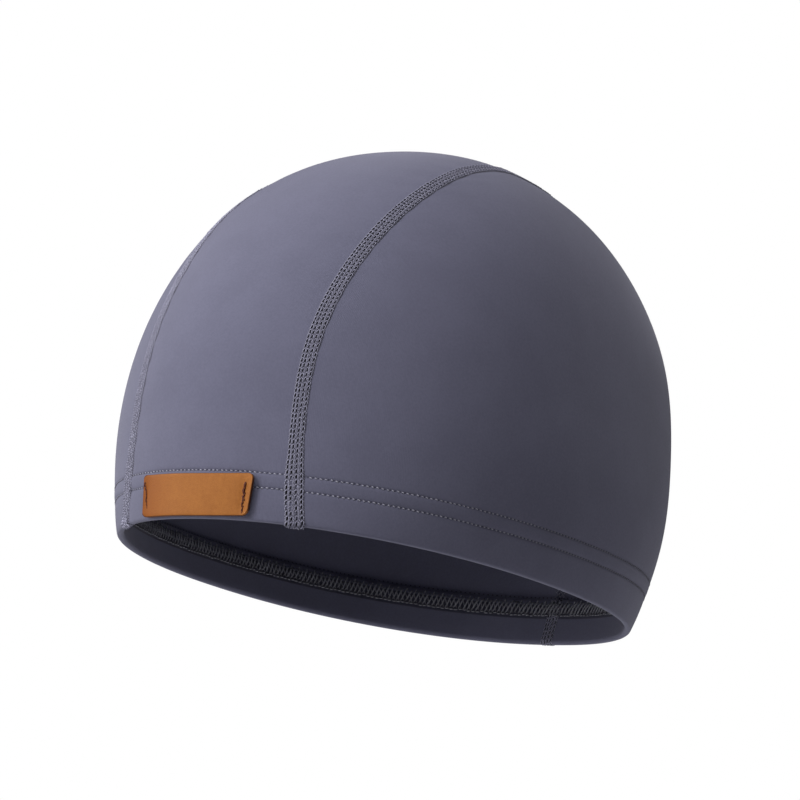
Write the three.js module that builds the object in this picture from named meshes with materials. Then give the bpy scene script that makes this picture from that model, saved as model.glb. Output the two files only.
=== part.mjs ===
// A three-panel knit swim cap in its worn form. Millimetres, +Z up, the front towards -Y and the wearer's
// left towards +X. The origin is the middle of the head opening, in the plane of the folded hem edge.
import * as THREE from 'three';

// Overall form, measured to the outer face of the cloth
const halfWidth = 77.5;
const frontReach = 93.8;
const backReach = 102.7;
const crownRise = 138.2;
const sideDrop = 0.75;
const rimTilt = 12.4;

// Shape of the plan (2 is an ellipse, more is squarer) and of the crown (1 is an ellipse, less is fuller)
const frontSquareness = 2.09;
const backSquareness = 2.16;
const crownTaper = 0.826;

// Fullness of the form: lift in degrees from the hem (0) to the crown (90), then the reach to each side,
// to the front and to the back as shares of halfWidth, frontReach and backReach
const fullnessRows = [
  { lift: 0, side: 0.900, front: 0.986, back: 0.942 },
  { lift: 12, side: 1.012, front: 1.018, back: 1.011 },
  { lift: 24, side: 1.060, front: 1.057, back: 1.074 },
  { lift: 38, side: 1.117, front: 1.046, back: 1.146 },
  { lift: 54, side: 1.171, front: 0.995, back: 1.165 },
  { lift: 72, side: 1.229, front: 0.897, back: 1.168 },
  { lift: 90, side: 1.287, front: 0.808, back: 1.171 },
];

// Cloth, and the hem that is turned up inside all round
const clothThickness = 1.0;
const hemDepth = 14.8;
const layerGap = 0.3;

// Flat thread seams between the panels
const seamWidth = 6.0;
const seamProud = 0.35;
const pieceGap = 0.3;

// The strip between the two front seams: its half width to the seam lines, with turn in degrees over the
// head from the front hem (0) to the back hem (180), and the turn at which both seam lines meet
const stripHalfWidth = 33.2;
const stripRows = [
  { turn: 0, share: 1.0 },
  { turn: 30, share: 0.968 },
  { turn: 60, share: 1.074 },
  { turn: 90, share: 1.020 },
];
const taperStart = 90;
const seamsMeet = 150;
const stripTipWidth = 0.7;

// How far before seamsMeet the right seam ends, in degrees of turn
const joinLap = 3;

// Leather label on the front of the hem
const labelLength = 41.2;
const labelHeight = 12.4;
const labelThickness = 1.5;
const labelCorner = 2.6;
const labelRise = 2.5;

// Fineness of the meshes
const sideColumns = 24;
const sideRows = 17;
const stripColumns = 8;
const stripPanelRows = 30;
const seamRows = 36;
const seamEndRows = 9;
const foldSteps = 4;
const hemSteps = 3;
const labelRows = 4;
const labelColumns = 10;
const cornerSteps = 3;

// Lay of the rows, in degrees of turn: where a side panel's front and back edges end at the top, and how
// far the strip's rows take to go from level to square across the head
const sideRowsMeet = 88;
const stripRowsSquare = 60;

// Searches on the surface: widest lean tried for a seam, how often each search narrows or repeats, the
// half step that gives a seam's course, and the step in which the strip's tip is looked for
const widestLean = 1.2;
const leanPasses = 34;
const nearestPasses = 4;
const risePasses = 8;
const courseStep = 0.5;
const tipStep = 0.25;

const radians = THREE.MathUtils.degToRad;
const up = new THREE.Vector3(0, 0, 1);

/** Natural cubic spline of one column of a table against its first column. */
function spline(rows, first, column) {
  const x = rows.map((row) => row[first]);
  const y = rows.map((row) => row[column]);
  const last = x.length - 1;
  const bend = new Array(last + 1).fill(0);
  const carry = new Array(last + 1).fill(0);
  for (let i = 1; i < last; i += 1) {
    const span = x[i + 1] - x[i - 1];
    const share = (x[i] - x[i - 1]) / span;
    const pivot = share * bend[i - 1] + 2;
    const turn = (y[i + 1] - y[i]) / (x[i + 1] - x[i]) - (y[i] - y[i - 1]) / (x[i] - x[i - 1]);
    bend[i] = (share - 1) / pivot;
    carry[i] = (6 * turn / span - share * carry[i - 1]) / pivot;
  }
  for (let i = last - 1; i >= 0; i -= 1) {
    bend[i] = bend[i] * bend[i + 1] + carry[i];
  }
  return (at) => {
    let k = 0;
    while (k < last - 1 && at > x[k + 1]) {
      k += 1;
    }
    const step = x[k + 1] - x[k];
    const a = (x[k + 1] - at) / step;
    const b = (at - x[k]) / step;
    const curve = (a ** 3 - a) * bend[k] + (b ** 3 - b) * bend[k + 1];
    return a * y[k] + b * y[k + 1] + curve * step * step / 6;
  };
}

const sideShare = spline(fullnessRows, 'lift', 'side');
const frontShare = spline(fullnessRows, 'lift', 'front');
const backShare = spline(fullnessRows, 'lift', 'back');
const stripShare = spline(stripRows, 'turn', 'share');

/** Direction at a lift above the hem plane and a bearing from the front round by the wearer's left. */
function heading(lift, bearing) {
  const level = Math.cos(lift);
  return new THREE.Vector3(level * Math.sin(bearing), -level * Math.cos(bearing), Math.sin(lift));
}

/** Point of the outer face in a direction, in the frame of the hem plane. */
function outerFace(direction) {
  const lift = Math.asin(THREE.MathUtils.clamp(direction.z, -1, 1));
  const degrees = THREE.MathUtils.radToDeg(lift);
  const level = Math.max(Math.hypot(direction.x, direction.y), 1e-12);
  const across = direction.x / level;
  const ahead = -direction.y / level;
  const shrink = Math.max(Math.cos(lift), 0) ** crownTaper;
  const front = ahead >= 0;
  const power = 2 / (front ? frontSquareness : backSquareness);
  const reach = front ? frontReach * frontShare(degrees) : backReach * backShare(degrees);
  const x = halfWidth * sideShare(degrees) * shrink * Math.sign(across) * Math.abs(across) ** power;
  const y = -reach * shrink * Math.sign(ahead) * Math.abs(ahead) ** power;
  const drop = sideDrop * Math.cos(lift) ** 2 * (x / halfWidth) ** 2;
  return new THREE.Vector3(x, y, crownRise * Math.sin(lift) - drop);
}

/** Two unit vectors square to a direction and to each other. */
function squareTo(direction) {
  const helper = Math.abs(direction.x) < 0.8 ? new THREE.Vector3(1, 0, 0) : new THREE.Vector3(0, 1, 0);
  const first = helper.cross(direction).normalize();
  return [first, direction.clone().cross(first)];
}

/** Direction a small way from another. */
function nudged(direction, tangent, amount) {
  return direction.clone().addScaledVector(tangent, amount).normalize();
}

/** Slopes of the outer face along the two vectors square to a direction. */
function slopes(direction, [first, second]) {
  const step = 1e-3;
  return [first, second].map((tangent) => outerFace(nudged(direction, tangent, step))
    .sub(outerFace(nudged(direction, tangent, -step))).divideScalar(2 * step));
}

/** Outward normal of the outer face in a direction. */
function outward(direction) {
  const [a, b] = slopes(direction, squareTo(direction));
  return a.cross(b).normalize();
}

/** Point at a depth under the outer face; a negative depth lies outside it. */
function inCloth(direction, depth) {
  return outerFace(direction).addScaledVector(outward(direction), -depth);
}

/** Direction of the point of the outer face that lies nearest to a shift from another. */
function shifted(direction, shift) {
  const target = outerFace(direction).add(shift);
  let found = direction.clone();
  for (let pass = 0; pass < nearestPasses; pass += 1) {
    const square = squareTo(found);
    const [a, b] = slopes(found, square);
    const miss = target.clone().sub(outerFace(found));
    const det = a.dot(a) * b.dot(b) - a.dot(b) ** 2;
    const alongA = (miss.dot(a) * b.dot(b) - miss.dot(b) * a.dot(b)) / det;
    const alongB = (miss.dot(b) * a.dot(a) - miss.dot(a) * a.dot(b)) / det;
    found = found.addScaledVector(square[0], alongA).addScaledVector(square[1], alongB).normalize();
  }
  return found;
}

/** Half width of the strip at a turn over the head, in degrees. */
function stripHalf(turn) {
  const taper = THREE.MathUtils.clamp((turn - taperStart) / (seamsMeet - taperStart), 0, 1);
  const held = Math.min(turn, taperStart);
  return stripHalfWidth * stripShare(held) * (0.5 + 0.5 * Math.cos(Math.PI * taper));
}

/** Direction of a seam line at a turn over the head; side is 1 for the wearer's left and -1 for the right. */
function seamLine(side, turn) {
  const target = side * stripHalf(turn);
  let low = -widestLean;
  let high = widestLean;
  let found;
  for (let pass = 0; pass < leanPasses; pass += 1) {
    const lean = (low + high) / 2;
    const level = Math.cos(lean);
    const angle = radians(turn);
    found = new THREE.Vector3(Math.sin(lean), -Math.cos(angle) * level, Math.sin(angle) * level);
    if (outerFace(found).x < target) {
      low = lean;
    } else {
      high = lean;
    }
  }
  return found;
}

/** Direction beside a seam line, a distance towards the wearer's left. */
function besideSeam(side, turn, distance) {
  const here = seamLine(side, turn);
  const before = outerFace(seamLine(side, turn - courseStep));
  const along = outerFace(seamLine(side, turn + courseStep)).sub(before);
  const across = along.cross(outward(here)).normalize();
  return shifted(here, across.multiplyScalar(distance));
}

/** Lift at which the outer face is a rise above the hem edge. */
function liftAtRise(rise) {
  return Math.asin(rise / crownRise);
}

/** Turn at which a seam line is a rise above the hem edge, at the front or at the back. */
function turnAtRise(side, rise, atBack) {
  let turn = 0;
  for (let pass = 0; pass < risePasses; pass += 1) {
    const lean = Math.asin(seamLine(side, atBack ? 180 - turn : turn).x);
    turn = THREE.MathUtils.radToDeg(Math.asin(rise / crownRise / Math.cos(lean)));
  }
  return atBack ? 180 - turn : turn;
}

/** Bearing of a direction from the front, round by the wearer's left. */
function bearingOf(direction) {
  return Math.atan2(direction.x, -direction.y);
}

// Middle of the folded hem, under the outer face and above the edge
const foldRadius = clothThickness + layerGap / 2;

/**
 * Rows of the hem from its raw edge, down inside, round the fold and up outside: each has a base rise
 * above the hem edge and how far it is folded, from half a turn (inside) to none (outside).
 */
function hemRows() {
  const rows = [];
  for (let step = hemSteps; step > 0; step -= 1) {
    rows.push({ base: hemDepth * step / hemSteps, fold: Math.PI });
  }
  for (let step = foldSteps; step >= 0; step -= 1) {
    rows.push({ base: foldRadius, fold: Math.PI * step / foldSteps });
  }
  for (let step = 1; step <= hemSteps; step += 1) {
    rows.push({ base: hemDepth * step / hemSteps, fold: 0 });
  }
  return rows;
}

/** Point of a hem row at a bearing, on the cloth's outer (0) or inner (1) face, proud of it or not. */
function inHem(row, bearing, face, proud) {
  const radius = face === 0 ? foldRadius + proud : layerGap / 2;
  const rise = row.base - radius * Math.sin(row.fold);
  return inCloth(heading(liftAtRise(rise), bearing), foldRadius - radius * Math.cos(row.fold));
}

/**
 * Closed sheet with two faces and a rim. Rows run upwards and columns to the right as seen from outside,
 * and place(row, column, face) gives a point of the outer (0) or inner (1) face.
 */
function sheet(rows, columns, place) {
  const positions = [];
  for (const face of [0, 1]) {
    for (let row = 0; row < rows; row += 1) {
      for (let column = 0; column < columns; column += 1) {
        positions.push(...place(row, column, face).toArray());
      }
    }
  }
  const at = (row, column, face) => (face * rows + row) * columns + column;
  const index = [];
  const quad = (a, b, c, d) => index.push(a, b, c, a, c, d);
  for (let r = 0; r < rows - 1; r += 1) {
    for (let c = 0; c < columns - 1; c += 1) {
      quad(at(r, c, 0), at(r, c + 1, 0), at(r + 1, c + 1, 0), at(r + 1, c, 0));
      quad(at(r, c, 1), at(r + 1, c, 1), at(r + 1, c + 1, 1), at(r, c + 1, 1));
    }
    quad(at(r, 0, 1), at(r, 0, 0), at(r + 1, 0, 0), at(r + 1, 0, 1));
    quad(at(r, columns - 1, 0), at(r, columns - 1, 1), at(r + 1, columns - 1, 1), at(r + 1, columns - 1, 0));
  }
  for (let c = 0; c < columns - 1; c += 1) {
    quad(at(0, c, 1), at(0, c + 1, 1), at(0, c + 1, 0), at(0, c, 0));
    quad(at(rows - 1, c, 0), at(rows - 1, c + 1, 0), at(rows - 1, c + 1, 1), at(rows - 1, c, 1));
  }
  const geometry = new THREE.BufferGeometry();
  geometry.setAttribute('position', new THREE.Float32BufferAttribute(positions, 3));
  geometry.setIndex(index);
  geometry.computeVertexNormals();
  return geometry;
}

const edgeFromSeam = seamWidth / 2 + pieceGap;

/** Side panel from the front seam round to the centre back; side is 1 for the wearer's left. */
function sidePanel(side) {
  const hem = hemRows().map((row) => {
    const rise = Math.max(row.base, foldRadius);
    return {
      ...row,
      start: bearingOf(besideSeam(1, turnAtRise(1, rise, false), edgeFromSeam)),
      end: bearingOf(besideSeam(1, turnAtRise(1, rise, true), edgeFromSeam)),
    };
  });
  const frontTurn = turnAtRise(1, hemDepth, false);
  const backTurn = turnAtRise(1, hemDepth, true);
  const body = [];
  for (let step = 1; step <= sideRows; step += 1) {
    const share = step / sideRows;
    const front = besideSeam(1, THREE.MathUtils.lerp(frontTurn, sideRowsMeet, share), edgeFromSeam);
    const back = besideSeam(1, THREE.MathUtils.lerp(backTurn, 180 - sideRowsMeet, share), edgeFromSeam);
    body.push({
      start: bearingOf(front), startLift: Math.asin(front.z), end: bearingOf(back), endLift: Math.asin(back.z),
    });
  }
  const place = (row, column, face) => {
    const ordered = side > 0 ? column : sideColumns - column;
    const share = ordered / sideColumns;
    const line = row < hem.length ? hem[row] : body[row - hem.length];
    const bearing = THREE.MathUtils.lerp(line.start, line.end, share);
    let point;
    if (row < hem.length) {
      point = inHem(line, bearing, face, 0);
    } else {
      const lift = THREE.MathUtils.lerp(line.startLift, line.endLift, share);
      point = inCloth(heading(lift, bearing), face * clothThickness);
    }
    point.x *= side;
    return point;
  };
  return sheet(hem.length + body.length, sideColumns + 1, place);
}

/** Turn at which the strip between the seams has narrowed to its tip. */
function tipTurn() {
  let turn = taperStart;
  while (turn < seamsMeet && stripHalf(turn) * 2 > edgeFromSeam * 2 + stripTipWidth) {
    turn += tipStep;
  }
  return turn;
}

/** Strip from the front hem over the crown to its tip at the back. */
function centrePanel() {
  const hem = hemRows().map((row) => {
    const turn = turnAtRise(1, Math.max(row.base, foldRadius), false);
    return { ...row, half: bearingOf(besideSeam(1, turn, -edgeFromSeam)) };
  });
  const frontTurn = turnAtRise(1, hemDepth, false);
  const lastTurn = tipTurn();
  const body = [];
  for (let step = 1; step <= stripPanelRows; step += 1) {
    const turn = THREE.MathUtils.lerp(frontTurn, lastTurn, step / stripPanelRows);
    body.push({ turn, edge: besideSeam(1, turn, -edgeFromSeam) });
  }
  const place = (row, column, face) => {
    const share = 2 * column / stripColumns - 1;
    if (row < hem.length) {
      return inHem(hem[row], hem[row].half * share, face, 0);
    }
    const { turn, edge } = body[row - hem.length];
    const level = heading(Math.asin(edge.z), bearingOf(edge) * share);
    const straight = new THREE.Vector3(edge.x * share, edge.y, edge.z).normalize();
    const blend = THREE.MathUtils.smoothstep(turn, 0, stripRowsSquare);
    return inCloth(level.lerp(straight, blend).normalize(), face * clothThickness);
  };
  return sheet(hem.length + body.length, stripColumns + 1, place);
}

// Across a seam: place as a share of its half width, and how far its threads stand proud
const seamSection = [
  { across: -1.0, proud: 0.1 },
  { across: -0.86, proud: 1.0 },
  { across: 0.0, proud: 1.0 },
  { across: 0.86, proud: 1.0 },
  { across: 1.0, proud: 0.1 },
];

/** Point across a seam between its two edge directions. */
function inSeam(edges, section, face) {
  const direction = edges[0].clone().lerp(edges[1], (section.across + 1) / 2).normalize();
  return inCloth(direction, face === 0 ? -seamProud * section.proud : clothThickness);
}

/** Hem rows of a seam with the bearings of its edges, at the front or at the back. */
function seamHem(side, atBack) {
  return hemRows().map((row) => {
    const turn = turnAtRise(side, Math.max(row.base, foldRadius), atBack);
    const edges = [-seamWidth / 2, seamWidth / 2].map((distance) => besideSeam(side, turn, distance));
    const bearings = edges.map(bearingOf);
    if (atBack && bearings[0] < 0) {
      bearings[0] += 2 * Math.PI;
    }
    return { ...row, bearings };
  });
}

/** Point of a seam where it is turned in with the hem. */
function inSeamHem(row, section, face) {
  const bearing = THREE.MathUtils.lerp(row.bearings[0], row.bearings[1], (section.across + 1) / 2);
  return inHem(row, bearing, face, seamProud * section.proud);
}

/** Turns of a seam's rows after its front hem: to the strip's tip, then on to its last turn. */
function seamTurns(side, lastTurn) {
  const tip = tipTurn();
  const first = turnAtRise(side, hemDepth, false);
  const turns = [];
  for (let step = 1; step <= seamRows; step += 1) {
    turns.push(THREE.MathUtils.lerp(first, tip, step / seamRows));
  }
  for (let step = 1; step <= seamEndRows; step += 1) {
    turns.push(THREE.MathUtils.lerp(tip, lastTurn, step / seamEndRows));
  }
  return turns;
}

/** Edge directions of a seam at each turn; past the strip's tip the right seam reaches to the left one. */
function seamEdges(side, lastTurn) {
  const tip = tipTurn();
  return seamTurns(side, lastTurn).map((turn) => [-1, 1].map((edge) => {
    const meets = side < 0 && edge > 0 && turn > tip;
    return meets ? besideSeam(1, turn, -edgeFromSeam) : besideSeam(side, turn, edge * seamWidth / 2);
  }));
}

/** Seam on the wearer's left, which runs on down the centre back and is turned in at both hems. */
function throughSeam() {
  const front = seamHem(1, false);
  const back = seamHem(1, true).reverse();
  const edges = seamEdges(1, turnAtRise(1, hemDepth, true)).slice(0, -1);
  const place = (row, column, face) => {
    const section = seamSection[column];
    if (row < front.length) {
      return inSeamHem(front[row], section, face);
    }
    if (row < front.length + edges.length) {
      return inSeam(edges[row - front.length], section, face);
    }
    return inSeamHem(back[row - front.length - edges.length], section, face);
  };
  return sheet(front.length + edges.length + back.length, seamSection.length, place);
}

/** Seam on the wearer's right, which ends where it runs into the other seam at the back. */
function joiningSeam() {
  const front = seamHem(-1, false);
  const edges = seamEdges(-1, seamsMeet - joinLap);
  const place = (row, column, face) => {
    const section = seamSection[column];
    return row < front.length
      ? inSeamHem(front[row], section, face)
      : inSeam(edges[row - front.length], section, face);
  };
  return sheet(front.length + edges.length, seamSection.length, place);
}

/** Distances along the label at which its columns stand, close together round its corners. */
function labelStations() {
  const straight = labelLength / 2 - labelCorner;
  const stations = [];
  for (let step = cornerSteps; step > 0; step -= 1) {
    stations.push(-straight - labelCorner * Math.sin(Math.PI / 2 * step / cornerSteps));
  }
  for (let step = 0; step <= labelColumns; step += 1) {
    stations.push(THREE.MathUtils.lerp(-straight, straight, step / labelColumns));
  }
  for (let step = 1; step <= cornerSteps; step += 1) {
    stations.push(straight + labelCorner * Math.sin(Math.PI / 2 * step / cornerSteps));
  }
  return stations;
}

/** Bearing reached by going a distance round the front at the label's middle height. */
function labelBearing(distance) {
  const steps = 12;
  let direction = heading(liftAtRise(labelRise + labelHeight / 2), 0);
  for (let step = 0; step < steps; step += 1) {
    const level = up.clone().cross(outward(direction)).normalize();
    direction = shifted(direction, level.multiplyScalar(distance / steps));
  }
  return bearingOf(direction);
}

/** Bent leather label with rounded corners, flat on the front of the hem. */
function label() {
  const columns = labelStations().map((station) => {
    const beyond = Math.max(Math.abs(station) - (labelLength / 2 - labelCorner), 0);
    const lost = labelCorner - Math.sqrt(Math.max(labelCorner ** 2 - beyond ** 2, 0));
    return { bearing: labelBearing(station), half: labelHeight / 2 - lost };
  });
  const middle = labelRise + labelHeight / 2;
  const place = (row, column, face) => {
    const { bearing, half } = columns[column];
    const rise = middle + half * (2 * row / labelRows - 1);
    const depth = face === 0 ? -pieceGap - labelThickness : -pieceGap;
    return inCloth(heading(liftAtRise(rise), bearing), depth);
  };
  return sheet(labelRows + 1, columns.length, place);
}

const knit = { color: 0x5a5b6b, roughness: 0.8, metalness: 0 };
const thread = { color: 0x74757f, roughness: 0.7, metalness: 0 };
const leather = { color: 0xb8722f, roughness: 0.55, metalness: 0 };

/** Named mesh with a material of its own. */
function piece(name, geometry, finish) {
  const mesh = new THREE.Mesh(geometry, new THREE.MeshStandardMaterial(finish));
  mesh.name = name;
  return mesh;
}

const cap = new THREE.Group();
cap.rotation.x = -radians(rimTilt);
cap.add(
  piece('centre_panel', centrePanel(), knit),
  piece('side_panel_left', sidePanel(1), knit),
  piece('side_panel_right', sidePanel(-1), knit),
  piece('seam_left', throughSeam(), thread),
  piece('seam_right', joiningSeam(), thread),
  piece('label', label(), leather),
);

export default cap;
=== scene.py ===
"""Swim cap of stretch knit: three panels, two flat thread seams, a stitched hem and a bare leather label."""

import logging
import math
from collections.abc import Callable
from dataclasses import dataclass
from enum import Enum
from functools import cached_property

import bmesh
import bpy
import numpy as np
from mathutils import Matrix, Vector


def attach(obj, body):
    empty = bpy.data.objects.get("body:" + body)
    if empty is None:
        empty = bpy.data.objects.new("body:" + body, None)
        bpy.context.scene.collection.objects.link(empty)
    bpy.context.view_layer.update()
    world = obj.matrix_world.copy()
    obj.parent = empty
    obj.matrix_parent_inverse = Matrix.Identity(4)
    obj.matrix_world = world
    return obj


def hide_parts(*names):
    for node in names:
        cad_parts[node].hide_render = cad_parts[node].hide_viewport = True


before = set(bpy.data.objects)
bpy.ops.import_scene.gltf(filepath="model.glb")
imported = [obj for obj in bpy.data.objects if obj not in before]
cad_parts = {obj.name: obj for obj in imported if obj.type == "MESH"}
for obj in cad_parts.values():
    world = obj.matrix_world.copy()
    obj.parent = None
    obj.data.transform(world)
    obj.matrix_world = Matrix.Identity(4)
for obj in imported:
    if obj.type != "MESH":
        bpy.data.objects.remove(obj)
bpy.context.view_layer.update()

MM = 0.001
ROOT_BODY = "root"
UV_MAP = "cloth"
# Name of the mesh attribute that holds painted shade on threads, from 0 to 1.
PAINTED_SHADE = "painted_shade"
TINY = 1e-12

log = logging.getLogger("swim_cap")


class Side(Enum):
    """A side of the cap, as the wearer has it."""

    LEFT = 1
    RIGHT = -1

    @property
    def word(self) -> str:
        """The side's part in the names of pieces."""
        return self.name.lower()


class Slot(Enum):
    """Material slots of the record."""

    KNIT = "knit"
    THREAD = "seam_thread"
    LEATHER = "label_leather"


@dataclass(frozen=True)
class FullnessRow:
    """Reach of the form at one lift above the hem, as shares of its half width, front and back reach."""

    lift: float
    side: float
    front: float
    back: float


@dataclass(frozen=True)
class StripRow:
    """Half width of the centre strip at one turn over the head, as a share of its named half width."""

    turn: float
    share: float


FULLNESS = (
    FullnessRow(lift=0, side=0.900, front=0.986, back=0.942),
    FullnessRow(lift=12, side=1.012, front=1.018, back=1.011),
    FullnessRow(lift=24, side=1.060, front=1.057, back=1.074),
    FullnessRow(lift=38, side=1.117, front=1.046, back=1.146),
    FullnessRow(lift=54, side=1.171, front=0.995, back=1.165),
    FullnessRow(lift=72, side=1.229, front=0.897, back=1.168),
    FullnessRow(lift=90, side=1.287, front=0.808, back=1.171),
)

STRIP = (
    StripRow(turn=0, share=1.0),
    StripRow(turn=30, share=0.968),
    StripRow(turn=60, share=1.074),
    StripRow(turn=90, share=1.020),
)


def unit(vectors: np.ndarray) -> np.ndarray:
    """Vectors at length one."""
    return vectors / np.maximum(np.linalg.norm(vectors, axis=-1, keepdims=True), TINY)


def smoothstep(values: np.ndarray, low: float, high: float) -> np.ndarray:
    """Smooth rise from 0 at low to 1 at high."""
    share = np.clip((values - low) / (high - low), 0, 1)
    return share * share * (3 - 2 * share)


def stacked(*parts: np.ndarray | float) -> np.ndarray:
    """Arrays spread to one shape and put side by side along a new last axis."""
    return np.stack(np.broadcast_arrays(*parts), -1)


def reached(line: np.ndarray) -> np.ndarray:
    """Length along a line of points, reached at each of them."""
    return np.concatenate([[0], np.cumsum(np.linalg.norm(np.diff(line, axis=0), axis=1))])


@dataclass(frozen=True)
class Spline:
    """Natural cubic spline through a short table."""

    at: tuple[float, ...]
    value: tuple[float, ...]

    @cached_property
    def bends(self) -> np.ndarray:
        """Second slope at each row, none at the two ends."""
        x, y = np.array(self.at, float), np.array(self.value, float)
        step = np.diff(x)
        size = len(x)
        matrix, right = np.eye(size), np.zeros(size)
        for i in range(1, size - 1):
            matrix[i, i - 1:i + 2] = step[i - 1], 2 * (step[i - 1] + step[i]), step[i]
            right[i] = 6 * ((y[i + 1] - y[i]) / step[i] - (y[i] - y[i - 1]) / step[i - 1])
        return np.linalg.solve(matrix, right)

    def __call__(self, place: np.ndarray) -> np.ndarray:
        """Value of the curve.

        Args:
            place: where to read it, in the table's first column.
        Returns:
            The value at each place.
        """
        x, y = np.array(self.at, float), np.array(self.value, float)
        k = np.clip(np.searchsorted(x, place) - 1, 0, len(x) - 2)
        step = x[k + 1] - x[k]
        a = (x[k + 1] - place) / step
        b = (place - x[k]) / step
        curve = (a ** 3 - a) * self.bends[k] + (b ** 3 - b) * self.bends[k + 1]
        return a * y[k] + b * y[k + 1] + curve * step * step / 6


SIDE_SHARE, FRONT_SHARE, BACK_SHARE = (
    Spline(tuple(row.lift for row in FULLNESS), tuple(getattr(row, name) for row in FULLNESS))
    for name in ("side", "front", "back")
)
STRIP_SHARE = Spline(tuple(row.turn for row in STRIP), tuple(row.share for row in STRIP))


@dataclass(frozen=True)
class CapForm:
    """Worn form of the cap, to the outer face of its cloth, and the lie of its seams and hem."""

    half_width: float = 77.5 * MM
    front_reach: float = 93.8 * MM
    back_reach: float = 102.7 * MM
    crown_rise: float = 138.2 * MM
    side_drop: float = 0.75 * MM
    rim_tilt: float = 12.4
    front_squareness: float = 2.09
    back_squareness: float = 2.16
    crown_taper: float = 0.826
    cloth: float = 1.0 * MM
    layer_gap: float = 0.3 * MM
    strip_half_width: float = 33.2 * MM
    taper_start: float = 90.0
    seams_meet: float = 150.0
    widest_lean: float = 1.2
    course_step: float = 0.5
    slope_step: float = 1e-3
    shift_steps: int = 4
    turn_steps: int = 8
    halvings: int = 34
    sway_even: float = 0.25 * MM
    sway_front: float = 0.85 * MM
    sway_height: float = 9.0 * MM

    @property
    def fold_radius(self) -> float:
        """Outer radius of the hem's fold."""
        return self.cloth + self.layer_gap / 2

    def heading(self, lift: np.ndarray, bearing: np.ndarray) -> np.ndarray:
        """Direction from the middle of the opening.

        Args:
            lift: angle above the hem plane.
            bearing: angle from the front, round by the wearer's left.
        Returns:
            Unit vectors.
        """
        level = np.cos(lift)
        return stacked(level * np.sin(bearing), -level * np.cos(bearing), np.sin(lift))

    def outer(self, direction: np.ndarray) -> np.ndarray:
        """Point of the outer face in a direction, in the frame of the hem plane."""
        lift = np.arcsin(np.clip(direction[..., 2], -1, 1))
        degrees = np.degrees(lift)
        level = np.maximum(np.hypot(direction[..., 0], direction[..., 1]), TINY)
        across, ahead = direction[..., 0] / level, -direction[..., 1] / level
        shrink = np.maximum(np.cos(lift), 0) ** self.crown_taper
        front = ahead >= 0
        power = np.where(front, 2 / self.front_squareness, 2 / self.back_squareness)
        front_reach = self.front_reach * FRONT_SHARE(degrees)
        reach = np.where(front, front_reach, self.back_reach * BACK_SHARE(degrees))
        x = self.half_width * SIDE_SHARE(degrees) * shrink * np.sign(across) * np.abs(across) ** power
        y = -reach * shrink * np.sign(ahead) * np.abs(ahead) ** power
        drop = self.side_drop * np.cos(lift) ** 2 * (x / self.half_width) ** 2
        return stacked(x, y, self.crown_rise * np.sin(lift) - drop)

    def slopes(self, direction: np.ndarray) -> tuple[np.ndarray, np.ndarray, np.ndarray, np.ndarray]:
        """Two vectors square to a direction, and the slopes of the outer face along them."""
        step = self.slope_step
        plain = np.abs(direction[..., :1]) < 0.8
        helper = np.where(plain, np.array([1.0, 0, 0]), np.array([0, 1.0, 0]))
        first = unit(np.cross(helper, direction))
        second = np.cross(direction, first)
        found = [
            (self.outer(unit(direction + t * step)) - self.outer(unit(direction - t * step))) / (2 * step)
            for t in (first, second)
        ]
        return first, second, found[0], found[1]

    def outward(self, direction: np.ndarray) -> np.ndarray:
        """Outward normal of the outer face."""
        _, _, a, b = self.slopes(direction)
        return unit(np.cross(a, b))

    def world(self, points: np.ndarray) -> np.ndarray:
        """Points of the hem plane's frame in the frame of the part."""
        level, steep = math.cos(math.radians(self.rim_tilt)), math.sin(math.radians(self.rim_tilt))
        x, y, z = np.moveaxis(points, -1, 0)
        return stacked(x, y * level + z * steep, z * level - y * steep)

    def in_cloth(self, direction: np.ndarray, depth: np.ndarray | float) -> np.ndarray:
        """Points at a depth under the outer face, or outside it where the depth is negative.

        Args:
            direction: unit vectors.
            depth: how far under the face, one for each vector or one for all.
        Returns:
            Points in the frame of the part.
        """
        depth = np.broadcast_to(depth, direction.shape[:-1])[..., None]
        return self.world(self.outer(direction) - self.outward(direction) * depth)

    def shifted(self, direction: np.ndarray, shift: np.ndarray) -> np.ndarray:
        """Direction of the face's point nearest to a shift from another."""
        target = self.outer(direction) + shift
        found = direction
        for _ in range(self.shift_steps):
            first, second, a, b = self.slopes(found)
            miss = target - self.outer(found)
            aa, bb, ab = (a * a).sum(-1), (b * b).sum(-1), (a * b).sum(-1)
            ma, mb = (miss * a).sum(-1), (miss * b).sum(-1)
            scale = aa * bb - ab ** 2
            found = unit(
                found
                + first * ((ma * bb - mb * ab) / scale)[..., None]
                + second * ((mb * aa - ma * ab) / scale)[..., None]
            )
        return found

    def strip_half(self, turn: np.ndarray) -> np.ndarray:
        """Half width of the strip at a turn over the head."""
        taper = np.clip((turn - self.taper_start) / (self.seams_meet - self.taper_start), 0, 1)
        share = STRIP_SHARE(np.minimum(turn, self.taper_start))
        return self.strip_half_width * share * (0.5 + 0.5 * np.cos(math.pi * taper))

    def seam_line(self, side: Side, turn: np.ndarray) -> np.ndarray:
        """Direction of a seam at a turn over the head."""
        turn = np.atleast_1d(np.asarray(turn, float))
        angle = np.radians(turn)
        target = side.value * self.strip_half(turn)
        low, high = np.full(turn.shape, -self.widest_lean), np.full(turn.shape, self.widest_lean)
        for _ in range(self.halvings):
            lean = (low + high) / 2
            level = np.cos(lean)
            found = stacked(np.sin(lean), -np.cos(angle) * level, np.sin(angle) * level)
            less = self.outer(found)[..., 0] < target
            low, high = np.where(less, lean, low), np.where(less, high, lean)
        return found

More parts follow.
